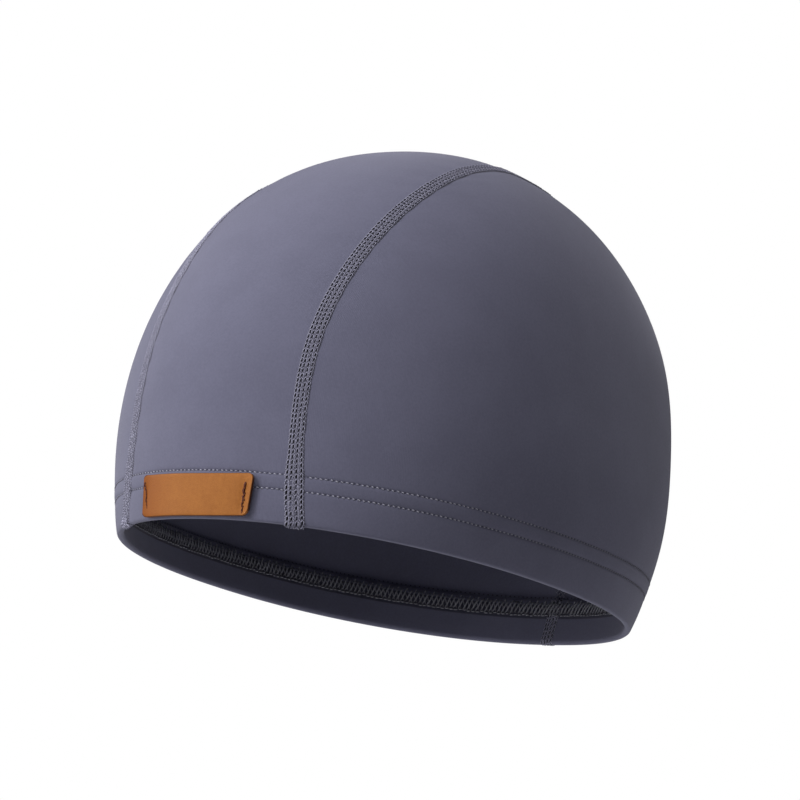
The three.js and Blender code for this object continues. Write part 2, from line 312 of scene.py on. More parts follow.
    def beside_seam(self, side: Side, turn: np.ndarray, distance: float) -> np.ndarray:
        """Direction beside a seam.

        Args:
            side: which seam.
            turn: how far over the head, in degrees.
            distance: how far towards the wearer's left.
        Returns:
            Unit vectors.
        """
        turn = np.atleast_1d(np.asarray(turn, float))
        here = self.seam_line(side, turn)
        before = self.outer(self.seam_line(side, turn - self.course_step))
        along = self.outer(self.seam_line(side, turn + self.course_step)) - before
        across = unit(np.cross(along, self.outward(here)))
        return self.shifted(here, across * distance)

    def lift_at(self, rise: np.ndarray | float) -> np.ndarray:
        """Lift at which the outer face is a rise above the hem edge."""
        return np.arcsin(np.asarray(rise) / self.crown_rise)

    def turn_at(self, side: Side, rise: np.ndarray | float, at_back: bool) -> np.ndarray:
        """Turn at which a seam is a rise above the hem edge, at the front or at the back."""
        rise = np.atleast_1d(np.asarray(rise, float))
        turn = np.zeros(rise.shape)
        for _ in range(self.turn_steps):
            lean = np.arcsin(self.seam_line(side, 180 - turn if at_back else turn)[..., 0])
            turn = np.degrees(np.arcsin(rise / self.crown_rise / np.cos(lean)))
        return 180 - turn if at_back else turn

    def bearing(self, direction: np.ndarray) -> np.ndarray:
        """Bearing from the front, round by the wearer's left."""
        return np.arctan2(direction[..., 0], -direction[..., 1])

    def hem_sway(self, bearing: np.ndarray) -> np.ndarray:
        """How far the stretched hem's edge lies above its plane: a little up in front and down behind."""
        return self.sway_even + self.sway_front * np.cos(bearing)

    def hem_point(
        self, base: np.ndarray, fold: np.ndarray, bearing: np.ndarray, proud: np.ndarray
    ) -> np.ndarray:
        """Point on the face side of the folded hem.

        Args:
            base: rise of the cloth above the hem edge, before it folds.
            fold: how far it is folded in, from 0 outside to half a turn inside.
            bearing: bearing from the front.
            proud: how far off the cloth's face.
        Returns:
            Points in the frame of the part.
        """
        radius = self.fold_radius + proud
        rise = base - radius * np.sin(fold)
        rise = rise + self.hem_sway(bearing) * (1 - smoothstep(rise, 0, self.sway_height))
        direction = self.heading(self.lift_at(rise), bearing)
        return self.in_cloth(direction, self.fold_radius - radius * np.cos(fold))


@dataclass(frozen=True)
class HemSizes:
    """Sizes of the turned-in hem and its rows of stitches."""

    depth: float = 14.8 * MM
    lower_row: float = 11.35 * MM
    upper_row: float = 15.85 * MM
    band_low: float = 9.2 * MM
    band_high: float = 13.9 * MM
    pitch: float = 1.56 * MM
    top: float = 18.5 * MM
    girth_rise: float = 13.4 * MM
    fold_steps: int = 9
    inner_rows: int = 9
    outer_rows: int = 13
    extra_rows: tuple[float, ...] = (-0.9, -0.5, -0.25, 0, 0.25, 0.5, 0.9)
    closest: float = 0.12 * MM

    @property
    def rows(self) -> tuple[float, float]:
        """Rises of the two rows of stitches."""
        return self.lower_row, self.upper_row

    def folded(self, form: CapForm) -> tuple[np.ndarray, np.ndarray]:
        """Rows from the raw edge inside to the end of the fold outside, as bases and folds."""
        inside = np.linspace(self.depth, form.fold_radius, self.inner_rows, endpoint=False)
        base = np.concatenate([inside, np.full(self.fold_steps + 1, form.fold_radius)])
        turned = np.linspace(math.pi, 0, self.fold_steps + 1)
        return base, np.concatenate([np.full(self.inner_rows, math.pi), turned])

    def plain_rises(self, form: CapForm) -> np.ndarray:
        """Rises of even rows outside, from the fold to the hem's top."""
        return np.linspace(form.fold_radius, self.top, self.outer_rows + 1)[1:]

    def outer_rises(self, form: CapForm) -> np.ndarray:
        """Rises of the rows outside, close together at the two rows of stitches."""
        near = [row + extra * MM for row in self.rows for extra in self.extra_rows]
        rises = np.sort(np.concatenate([self.plain_rises(form), near]))
        return rises[np.concatenate([[True], np.diff(rises) > self.closest])]

    def all_rows(self, form: CapForm, rises: np.ndarray) -> tuple[np.ndarray, np.ndarray]:
        """Bases and folds of all hem rows, those outside at the given rises."""
        base, fold = self.folded(form)
        return np.concatenate([base, rises]), np.concatenate([fold, np.zeros(len(rises))])


@dataclass(frozen=True)
class HemLine:
    """Length round the hem, from the middle of the front towards the wearer's left."""

    form: CapForm
    hem: HemSizes
    samples: int = 1441
    overlap: float = 0.1

    @cached_property
    def table(self) -> tuple[np.ndarray, np.ndarray]:
        """Bearings all the way round and a little over, and the length reached at each."""
        bearing = np.linspace(-math.pi - self.overlap, math.pi + self.overlap, self.samples)
        line = self.form.outer(self.form.heading(self.form.lift_at(self.hem.girth_rise), bearing))
        reach = reached(line)
        return bearing, reach - reach[-1] / 2

    @property
    def girth(self) -> float:
        """Length all round."""
        return 2 * float(self.reach(math.pi))

    def bearing(self, reach: np.ndarray) -> np.ndarray:
        """Bearing at a length round the hem."""
        return np.interp(reach, self.table[1], self.table[0])

    def reach(self, bearing: np.ndarray) -> np.ndarray:
        """Length round the hem at a bearing."""
        return np.interp(bearing, self.table[0], self.table[1])

    def direction(self, points: np.ndarray) -> np.ndarray:
        """Direction of points given as length round and rise."""
        return self.form.heading(self.form.lift_at(points[:, 1]), self.bearing(points[:, 0]))

    def outside(self, points: np.ndarray) -> np.ndarray:
        """Places points given as length round, rise and height off the outer face."""
        return self.form.in_cloth(self.direction(points), -points[:, 2])

    def inside(self, points: np.ndarray) -> np.ndarray:
        """Places points given as length round, rise and height off the face of the turned-in layer."""
        return self.form.in_cloth(self.direction(points), 2 * self.form.fold_radius + points[:, 2])


@dataclass(frozen=True)
class Course:
    """Line along a seam, with its own directions across it and out of the cloth.

    Spread and loft are shares of the plain width and height at each point.
    """

    middle: np.ndarray
    across: np.ndarray
    spread: np.ndarray
    loft: np.ndarray

    @cached_property
    def reach(self) -> np.ndarray:
        """Length along the line at each of its points."""
        return reached(self.middle)

    @cached_property
    def out(self) -> np.ndarray:
        """Direction out of the cloth at each point."""
        along = np.gradient(self.middle, self.reach, axis=0)
        return unit(np.cross(self.across, along))

    @property
    def length(self) -> float:
        """Length from end to end."""
        return float(self.reach[-1])

    def read(self, values: np.ndarray, at: np.ndarray) -> np.ndarray:
        """Values given along the line, read at any lengths along it."""
        return stacked(*(np.interp(at, self.reach, column) for column in values.T))

    def place(self, points: np.ndarray) -> np.ndarray:
        """Places points given as distance across, length along and height off the cloth."""
        at = points[:, 1]
        side = points[:, 0] * np.interp(at, self.reach, self.spread)
        height = points[:, 2] * np.interp(at, self.reach, self.loft)
        across, out = unit(self.read(self.across, at)), unit(self.read(self.out, at))
        return self.read(self.middle, at) + across * side[:, None] + out * height[:, None]


@dataclass
class Patch:
    """Loose piece of mesh: points, faces of one size each, and a coordinate pair for each face corner."""

    points: np.ndarray
    faces: list[np.ndarray]
    corners: list[np.ndarray]
    # Painted shade of each point, from 0 to 1.
    painted_shade: np.ndarray

    def volume(self) -> float:
        """Signed volume, positive where the faces point out."""
        total = 0.0
        for faces in self.faces:
            for i in range(1, faces.shape[1] - 1):
                a, b, c = (self.points[faces[:, k]] for k in (0, i, i + 1))
                total += float((a * np.cross(b, c)).sum()) / 6
        return total

    def outwards(self) -> "Patch":
        """The same piece with its faces pointing out."""
        if self.volume() >= 0:
            return self
        faces, corners = ([array[:, ::-1] for array in arrays] for arrays in (self.faces, self.corners))
        return Patch(self.points, faces, corners, self.painted_shade)

    def repeated(self, spots: np.ndarray, scale: np.ndarray | None = None) -> "Patch":
        """Copies of the piece.

        Args:
            spots: where each copy goes.
            scale: size of each copy along its three directions, or none.
        Returns:
            One piece that holds them all.
        """
        count, size = len(spots), len(self.points)
        scale = np.ones((count, 3)) if scale is None else scale
        points = (self.points[None] * scale[:, None] + spots[:, None]).reshape(-1, 3)
        shift = (np.arange(count) * size)[:, None, None]
        faces = [(f[None] + shift).reshape(-1, f.shape[1]) for f in self.faces]
        corners = [np.tile(c, (count, 1, 1)) for c in self.corners]
        return Patch(points, faces, corners, np.tile(self.painted_shade, count))

    def moved(self, place: Callable[[np.ndarray], np.ndarray]) -> "Patch":
        """The piece with its points placed on the cap, faces pointing out."""
        return Patch(place(self.points), self.faces, self.corners, self.painted_shade).outwards()


def joined(patches: list[Patch]) -> Patch:
    """One piece made of several."""
    faces: dict[int, list[np.ndarray]] = {}
    corners: dict[int, list[np.ndarray]] = {}
    start = 0
    for patch in patches:
        for f, c in zip(patch.faces, patch.corners):
            faces.setdefault(f.shape[1], []).append(f + start)
            corners.setdefault(f.shape[1], []).append(c)
        start += len(patch.points)
    return Patch(
        np.concatenate([p.points for p in patches]),
        [np.concatenate(faces[k]) for k in faces],
        [np.concatenate(corners[k]) for k in faces],
        np.concatenate([p.painted_shade for p in patches]),
    )


def scattered(rng: np.random.Generator, count: int, *places: tuple[np.ndarray | float, float]) -> np.ndarray:
    """Spots with a normal spread, given as place and spread each way; where that is 0 nothing is drawn."""
    ways = [at + (rng.normal(0, spread, count) if spread else np.zeros(count)) for at, spread in places]
    return stacked(*ways)


def grid_faces(rows: int, columns: int, start: int = 0, flip: bool = False) -> np.ndarray:
    """Faces of a grid of points, rows upwards and columns to the right as seen from outside."""
    at = start + np.arange(rows * columns).reshape(rows, columns)
    faces = np.stack([at[:-1, :-1], at[:-1, 1:], at[1:, 1:], at[1:, :-1]], -1).reshape(-1, 4)
    return faces[:, ::-1] if flip else faces


def closed_sheet(outer: np.ndarray, inner: np.ndarray, coords: np.ndarray) -> Patch:
    """Sheet with two faces and a rim.

    Args:
        outer: grid of points of the face side.
        inner: grid of points of the other side.
        coords: grid of coordinate pairs.
    Returns:
        The closed piece.
    """
    rows, columns = outer.shape[:2]
    count = rows * columns
    at = np.arange(count).reshape(rows, columns)
    edge = np.concatenate([at[0, :-1], at[:-1, -1], at[-1, :0:-1], at[:0:-1, 0]])
    following = np.roll(edge, -1)
    rim = np.stack([edge, edge + count, following + count, following], -1)
    faces = np.concatenate([grid_faces(rows, columns), grid_faces(rows, columns, count, flip=True), rim])
    pairs = np.concatenate([coords.reshape(-1, 2)] * 2)
    points = np.concatenate([outer.reshape(-1, 3), inner.reshape(-1, 3)])
    return Patch(points, [faces], [pairs[faces]], np.zeros(len(points))).outwards()


@dataclass(frozen=True)
class Strand:
    """Short length of thread, modelled once before it is repeated.

    The line is in across, along and height lengths; ends that dive into the cloth are given painted shade.
    """

    line: np.ndarray
    radius: float
    sides: int = 5
    closed: bool = False
    end_share: float = 0.55
    painted_shade: np.ndarray | None = None

    def build(self) -> Patch:
        """The thread as a closed tube or ring."""
        line = self.line
        count = len(line)
        if self.closed:
            tangent = unit(np.roll(line, -1, 0) - np.roll(line, 1, 0))
        else:
            tangent = unit(np.gradient(line, axis=0))
        side = unit(np.cross(tangent, np.array([0, 0, 1.0])))
        top = np.cross(side, tangent)
        turn = np.arange(self.sides) / self.sides * math.tau
        radius = np.full(count, self.radius)
        if not self.closed:
            radius[[0, -1]] *= self.end_share
        ring = side[:, None] * np.cos(turn)[None, :, None] + top[:, None] * np.sin(turn)[None, :, None]
        points = (line[:, None] + ring * radius[:, None, None]).reshape(-1, 3)
        reach = reached(np.concatenate([line, line[:1]]))
        faces, corners = [], []
        for i in range(count if self.closed else count - 1):
            j = (i + 1) % count
            for k in range(self.sides):
                m = (k + 1) % self.sides
                faces.append([row * self.sides + spot for row, spot in ((i, k), (j, k), (j, m), (i, m))])
                low, high = k / self.sides, (k + 1) / self.sides
                here, there = reach[i], reach[i + 1]
                corners.append([[here, low], [there, low], [there, high], [here, high]])
        all_faces, all_corners = [np.array(faces)], [np.array(corners)]
        # Painted shade along the line, spread to each ring of points.
        painted_shade = np.zeros(count) if self.painted_shade is None else self.painted_shade
        shade_points = np.repeat(painted_shade, self.sides)
        if not self.closed:
            last = (count - 1) * self.sides
            caps = np.array([list(range(self.sides)), list(range(last + self.sides - 1, last - 1, -1))])
            all_faces.append(caps)
            all_corners.append(np.zeros((2, self.sides, 2)))
        return Patch(points, all_faces, all_corners, shade_points).outwards()


def placed(name: str, data: bpy.types.ID) -> bpy.types.Object:
    """Makes an object of some data and puts it in the scene."""
    made = bpy.data.objects.new(name, data)
    bpy.context.scene.collection.objects.link(made)
    return made


def new_object(name: str, patch: Patch, material: bpy.types.Material) -> bpy.types.Object:
    """Makes a mesh object at the origin.

    Args:
        name: name of the piece.
        patch: its mesh.
        material: its finish.
    Returns:
        The object, smooth shaded, with its coordinates in the UV map called cloth.
    """
    mesh = bpy.data.meshes.new(name)
    mesh.vertices.add(len(patch.points))
    mesh.vertices.foreach_set("co", patch.points.astype(np.float32).ravel())
    loops = np.concatenate([f.ravel() for f in patch.faces])
    sizes = np.concatenate([np.full(len(f), f.shape[1]) for f in patch.faces])
    mesh.loops.add(len(loops))
    mesh.loops.foreach_set("vertex_index", loops.astype(np.int32))
    mesh.polygons.add(len(sizes))
    starts = np.concatenate([[0], np.cumsum(sizes)[:-1]])
    mesh.polygons.foreach_set("loop_start", starts.astype(np.int32))
    mesh.update(calc_edges=True)
    layer = mesh.uv_layers.new(name=UV_MAP)
    pairs = np.concatenate([c.reshape(-1, 2) for c in patch.corners])
    layer.data.foreach_set("uv", pairs.astype(np.float32).ravel())
    # The painted shade of each point goes into a point attribute for the finish.
    depth = mesh.attributes.new(PAINTED_SHADE, "FLOAT", "POINT")
    depth.data.foreach_set("value", patch.painted_shade.astype(np.float32))
    mesh.validate()
    mesh.shade_smooth()
    mesh.materials.append(material)
    return placed(name, mesh)


def triangles(piece: bpy.types.Object) -> int:
    """Triangles in a piece."""
    return sum(len(p.vertices) - 2 for p in piece.data.polygons)


def dress(piece: bpy.types.Object, slot: Slot, *nodes: str) -> None:
    """Fixes a piece to the body and lets it stand for CAD nodes."""
    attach(piece, ROOT_BODY)
    if nodes:
        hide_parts(*nodes)
    log.info("%s: %d triangles", piece.name, triangles(piece))


class Number:
    """A number socket of a shader, with arithmetic that adds Math nodes."""

    def __init__(self, shader: "Shader", socket: bpy.types.NodeSocket) -> None:
        self.shader = shader
        self.socket = socket

    def _math(self, operation: str, *values: "Number | float") -> "Number":
        """Result of a Math node."""
        node = self.shader.node("ShaderNodeMath", {"operation": operation}, dict(enumerate(values)))
        return Number(self.shader, node.outputs[0])

    def __add__(self, other: "Number | float") -> "Number":
        """Sum."""
        return self._math("ADD", self, other)

    __radd__ = __add__

    def __sub__(self, other: "Number | float") -> "Number":
        """Difference."""
        return self._math("SUBTRACT", self, other)

    def __rsub__(self, other: float) -> "Number":
        """Difference from a value."""
        return self._math("SUBTRACT", other, self)

    def __mul__(self, other: "Number | float") -> "Number":
        """Product."""
        return self._math("MULTIPLY", self, other)

    __rmul__ = __mul__

    def __abs__(self) -> "Number":
        """Size without sign."""
        return self._math("ABSOLUTE", self)

    def sine(self) -> "Number":
        """Sine of an angle."""
        return self._math("SINE", self)

    def root(self) -> "Number":
        """Square root."""
        return self._math("SQRT", self)

    def at_least(self, floor: float) -> "Number":
        """The number, or the floor where it is less."""
        return self._math("MAXIMUM", self, floor)

    def at_most(self, top: "Number | float") -> "Number":
        """The number, or the top where it is more."""
        return self._math("MINIMUM", self, top)

    def rise(self, low: float, high: float) -> "Number":
        """Smooth rise from 0 at low to 1 at high."""
        node = self.shader.node(
            "ShaderNodeMapRange",
            {"interpolation_type": "SMOOTHSTEP"},
            {"Value": self, "From Min": low, "From Max": high},
        )
        return Number(self.shader, node.outputs[0])


Colour = tuple[float, float, float]
Paint = Colour | bpy.types.NodeSocket
FLECK_SCALE = 2400


class Shader:
    """Node tree of a material or of the world."""

    def __init__(self, owner: bpy.types.Material | bpy.types.World) -> None:
        self.owner = owner
        owner.use_nodes = True
        self.tree = owner.node_tree
        self.tree.nodes.clear()

    def node(self, kind: str, settings: dict | None = None, inputs: dict | None = None) -> bpy.types.Node:
        """Adds a node.

        Args:
            kind: type of the node.
            settings: its own settings, set first.
            inputs: value or link of each socket, by name or number.
        Returns:
            The node.
        """
        made = self.tree.nodes.new(kind)
        for key, value in (settings or {}).items():
            setattr(made, key, value)
        for key, value in (inputs or {}).items():
            socket = made.inputs[key]
            if isinstance(value, Number):
                self.tree.links.new(value.socket, socket)
            elif isinstance(value, bpy.types.NodeSocket):
                self.tree.links.new(value, socket)
            else:
                socket.default_value = value
        return made

    def coords(self) -> tuple[Number, Number]:
        """The two coordinates of the piece's own map."""
        mapped = self.node("ShaderNodeUVMap", {"uv_map": UV_MAP})
        split = self.node("ShaderNodeSeparateXYZ", None, {0: mapped.outputs[0]})
        return Number(self, split.outputs[0]), Number(self, split.outputs[1])

    def noise(self, scale: float, detail: float = 2.0) -> Number:
        """Noise in the piece's own space, from 0 to 1."""
        return self._texture("ShaderNodeTexNoise", {"Scale": scale, "Detail": detail, "Roughness": 0.5})

    def cells(self, scale: float) -> Number:
        """Distance from the middles of small cells in the piece's own space."""
        return self._texture("ShaderNodeTexVoronoi", {"Scale": scale})

    def _texture(self, kind: str, inputs: dict) -> Number:
        """Texture in the piece's own space."""
        place = self.node("ShaderNodeTexCoord")
        return Number(self, self.node(kind, None, {"Vector": place.outputs["Object"], **inputs}).outputs[0])

    def attribute(self, name: str) -> Number:
        """Number kept on the mesh."""
        made = self.node("ShaderNodeAttribute", {"attribute_name": name})
        return Number(self, made.outputs["Fac"])

    def mix(self, share: Number, first: Paint, second: Paint) -> bpy.types.NodeSocket:
        """Colour between two others."""
        # A colour mix takes its colours at sockets 6 and 7 and gives its result at socket 2
        ends = [c if isinstance(c, bpy.types.NodeSocket) else (*c, 1) for c in (first, second)]
        made = self.node("ShaderNodeMix", {"data_type": "RGBA"}, {0: share, 6: ends[0], 7: ends[1]})
        return made.outputs[2]

    def bump(self, height: Number, distance: float, strength: float) -> bpy.types.NodeSocket:
        """Normal of a fine relief."""
        inputs = {"Height": height, "Distance": distance, "Strength": strength}
        return self.node("ShaderNodeBump", None, inputs).outputs[0]

    def shade_mix(self, share: bpy.types.NodeSocket, shades: list[bpy.types.Node]) -> bpy.types.Node:
        """Mix of two ways to answer light."""
        inputs = {0: share, 1: shades[0].outputs[0], 2: shades[1].outputs[0]}
        return self.node("ShaderNodeMixShader", None, inputs)

    def end(self, last: bpy.types.Node, kind: str = "ShaderNodeOutputMaterial") -> None:
        """Ends the tree with its output."""
        self.node(kind, None, {0: last.outputs[0]})

    def surface(self, inputs: dict) -> bpy.types.Material:
        """Ends the tree with a Principled surface, given its inputs, and returns the material."""
        self.end(self.node("ShaderNodeBsdfPrincipled", None, inputs))
        return self.owner


def new_shader(name: str) -> Shader:
    """Node tree of a new material."""
    return Shader(bpy.data.materials.new(name))


def waves(at: Number, length: float) -> Number:
    """Even waves from -1 to 1, one for each length."""
    return (at * (math.tau / length)).sine()


@dataclass(frozen=True)
class KnitFinish:
    """Fine matt stretch knit, with painted shade in the needle holes along the hem's rows and painted shade
    under the looper band.
    """

    hem: HemSizes
    light: Colour = (0.124, 0.1235, 0.182)
    dark: Colour = (0.108, 0.1075, 0.160)
    # Colour of the painted shade in the needle holes and under the looper band.
    hole_shade: Colour = (0.018, 0.018, 0.030)
    wale: float = 0.52 * MM
    course: float = 0.44 * MM
    relief: float = 0.05 * MM
    sheen: float = 0.18

    def material(self) -> bpy.types.Material:
        """Builds the finish."""
        shader = new_shader("knit")
        u, v = shader.coords()
        mottle = shader.noise(70, 3) * 0.45 + shader.noise(1400, 2) * 0.55
        cloth = shader.mix(mottle.rise(0.3, 0.7), self.dark, self.light)
        # Needle holes along the two rows: painted shade in the colour, and small dips in the relief.
        spot = (waves(u, self.hem.pitch) * 0.5 + 0.5).rise(0.55, 0.95)
        rows = [1 - abs(v - rise).rise(0.10 * MM, 0.36 * MM) for rise in self.hem.rows]
        hole_shade = (rows[0] + rows[1]) * spot
        # Painted shade on the inner face under the looper band's threads.
        half = (self.hem.band_high - self.hem.band_low) / 2
        band_shade = 1 - abs(v + (self.hem.band_low + half)).rise(half * 0.9, half * 1.1)
        colour = shader.mix((hole_shade * 0.65 + band_shade * 0.75).at_most(1.0), cloth, self.hole_shade)
        ribs = waves(u, self.wale) * 0.5 + waves(v, self.course) * waves(u, self.wale * 2) * 0.35
        height = ribs * 0.6 + shader.noise(2600, 2) * 0.8 - hole_shade * 3.0
        rough = shader.noise(900, 2) * 0.1 + 0.82
        return shader.surface({
            "Specular IOR Level": 0.22,
            "Sheen Weight": self.sheen,
            "Sheen Roughness": 0.45,
            "Sheen Tint": (0.82, 0.81, 0.90, 1),
            "Base Color": colour,
            "Roughness": rough,
            "Normal": shader.bump(height, self.relief, 0.6),
        })


@dataclass(frozen=True)
class ThreadFinish:
    """Spun thread with a twist, with painted shade where it dives into the cloth and ply stripes that are
    partly painted highlight.
    """

    name: str
    light: Colour = (0.430, 0.424, 0.550)
    dark: Colour = (0.120, 0.117, 0.172)
    # Colour of the painted shade where the thread dives into the cloth.
    shade_colour: Colour = (0.012, 0.011, 0.019)
    twist: float = 0.95 * MM
    relief: float = 0.06 * MM
    sheen: float = 0.08

    def material(self) -> bpy.types.Material:
        """Builds the finish."""
        shader = new_shader(self.name)
        u, v = shader.coords()
        # Stripes along the twist: the thread's own plies, partly painted as highlights in the colour, and
        # raised in the relief.
        ply_and_highlight = (u * (math.tau / self.twist) + v * (2 * math.tau)).sine() * 0.5 + 0.5
        fleck = shader.noise(FLECK_SCALE)
        body = shader.mix((ply_and_highlight * 0.55 + fleck * 0.6).rise(0.25, 0.95), self.dark, self.light)
        # Painted shade from the mesh attribute, mostly where the thread dives into the cloth.
        colour = shader.mix(shader.attribute(PAINTED_SHADE), body, self.shade_colour)
        height = ply_and_highlight + fleck * 0.5
        return shader.surface({
            "Specular IOR Level": 0.3,
            "Sheen Weight": self.sheen,
            "Sheen Roughness": 0.4,
            "Sheen Tint": (0.85, 0.85, 0.95, 1),
            "Base Color": colour,
            "Roughness": fleck * 0.15 + 0.62,
            "Normal": shader.bump(height, self.relief, 0.7),
        })


@dataclass(frozen=True)
class PackedThreadFinish:
    """Threads packed slantwise into a band, darker than the loose thread partly as painted shade under the
    loops, with painted shade in the holes down each column.
    """

    pitch: float
    # Darker than the loose thread, partly the band's own tone and partly painted shade under the loops.
    light: Colour = (0.190, 0.186, 0.245)
    dark: Colour = (0.060, 0.058, 0.084)
    # Colour of the painted shade in the holes.
    shade_colour: Colour = (0.005, 0.005, 0.009)
    half_width: float = 0.31 * MM
    half_length: float = 0.56 * MM
    relief: float = 0.10 * MM

    def material(self) -> bpy.types.Material:
        """Builds the finish."""
        shader = new_shader("seam_band")
        along, across = shader.coords()
        steep = 1 / math.sin(math.pi * self.half_length / self.pitch) ** 2
        # Painted shade in the holes down each column, which also dip the relief.
        hole_shades = []
        for column in COLUMNS:
            beside = (across - column.across) * (1 / self.half_width)
            between = ((along - column.phase * self.pitch) * (math.pi / self.pitch)).sine()
            hole_shades.append(1 - (beside * beside + between * between * steep).rise(0.7, 1.4))
        hole_shade = hole_shades[0] + hole_shades[1] + hole_shades[2] + hole_shades[3]
        # Slanted strands, partly painted as highlights in the colour, and raised in the relief.
        strands = waves(along + across * 0.9, self.pitch / 2) * 0.5 + 0.5
        fleck = shader.noise(FLECK_SCALE)
        body = shader.mix((strands * 0.7 + fleck * 0.4).rise(0.2, 0.9), self.dark, self.light)
        colour = shader.mix(hole_shade, body, self.shade_colour)
        height = strands + fleck * 0.4 - hole_shade
        return shader.surface({
            "Specular IOR Level": 0.25,
            "Sheen Weight": 0.15,
            "Sheen Roughness": 0.4,
            "Base Color": colour,
            "Roughness": fleck * 0.15 + 0.68,
            "Normal": shader.bump(height, self.relief, 0.8),
        })


@dataclass(frozen=True)
class LeatherFinish:
    """Tan leather with fine grain and a darker burnished edge."""

    length: float
    height: float
    corner: float
    light: Colour = (0.345, 0.125, 0.023)
    dark: Colour = (0.290, 0.098, 0.015)
    far: Colour = (0.245, 0.070, 0.006)
    edge: Colour = (0.060, 0.016, 0.006)
    relief: float = 0.09 * MM

    def material(self) -> bpy.types.Material:
        """Builds the finish."""
        shader = new_shader("label_leather")
        u, v = shader.coords()
        out_u = (abs(u) - (self.length / 2 - self.corner)).at_least(0)
        out_v = (abs(v) - (self.height / 2 - self.corner)).at_least(0)
        inwards = (out_u * out_u + out_v * out_v).root() - self.corner
        burnt = inwards.rise(-0.32 * MM, -0.01 * MM)
        tone = shader.noise(160, 4) * 0.5 + shader.noise(900, 3) * 0.5
        near = shader.mix(tone.rise(0.3, 0.72), self.dark, self.light)
        body = shader.mix(u.rise(-0.5 * self.length, -0.1 * self.length), self.far, near)
        grain = shader.cells(2300)
        pores = shader.mix((1 - grain.rise(0.05, 0.35)) * 0.30, body, self.edge)
        colour = shader.mix(burnt * 0.85, pores, self.edge)
        height = grain * 0.8 + shader.noise(1500, 3) * 0.6
        rough = tone * 0.14 + burnt * 0.1 + 0.55
        return shader.surface({
            "Specular IOR Level": 0.22,
            "Base Color": colour,
            "Roughness": rough,
            "Normal": shader.bump(height, self.relief, 0.45),
        })


@dataclass(frozen=True)
class FloorFinish:
    """Plain pale floor that is clear from below."""

    colour: Colour = (0.82, 0.82, 0.82)

    def material(self) -> bpy.types.Material:
        """Builds the finish."""
        shader = new_shader("pale_floor")
        matt = shader.node("ShaderNodeBsdfDiffuse", None, {"Color": (*self.colour, 1)})
        clear = shader.node("ShaderNodeBsdfTransparent")
        below = shader.node("ShaderNodeNewGeometry").outputs["Backfacing"]
        shader.end(shader.shade_mix(below, [matt, clear]))
        return shader.owner


@dataclass(frozen=True)
class Cut:
    """Flat size of a panel before it is sewn and stretched over a head."""

    width: float
    length: float
    area: float

    def declare(self, piece: bpy.types.Object) -> None:
        """Reads the cut's length and does nothing with the piece."""
        self.length


FAR_UP = 1.0


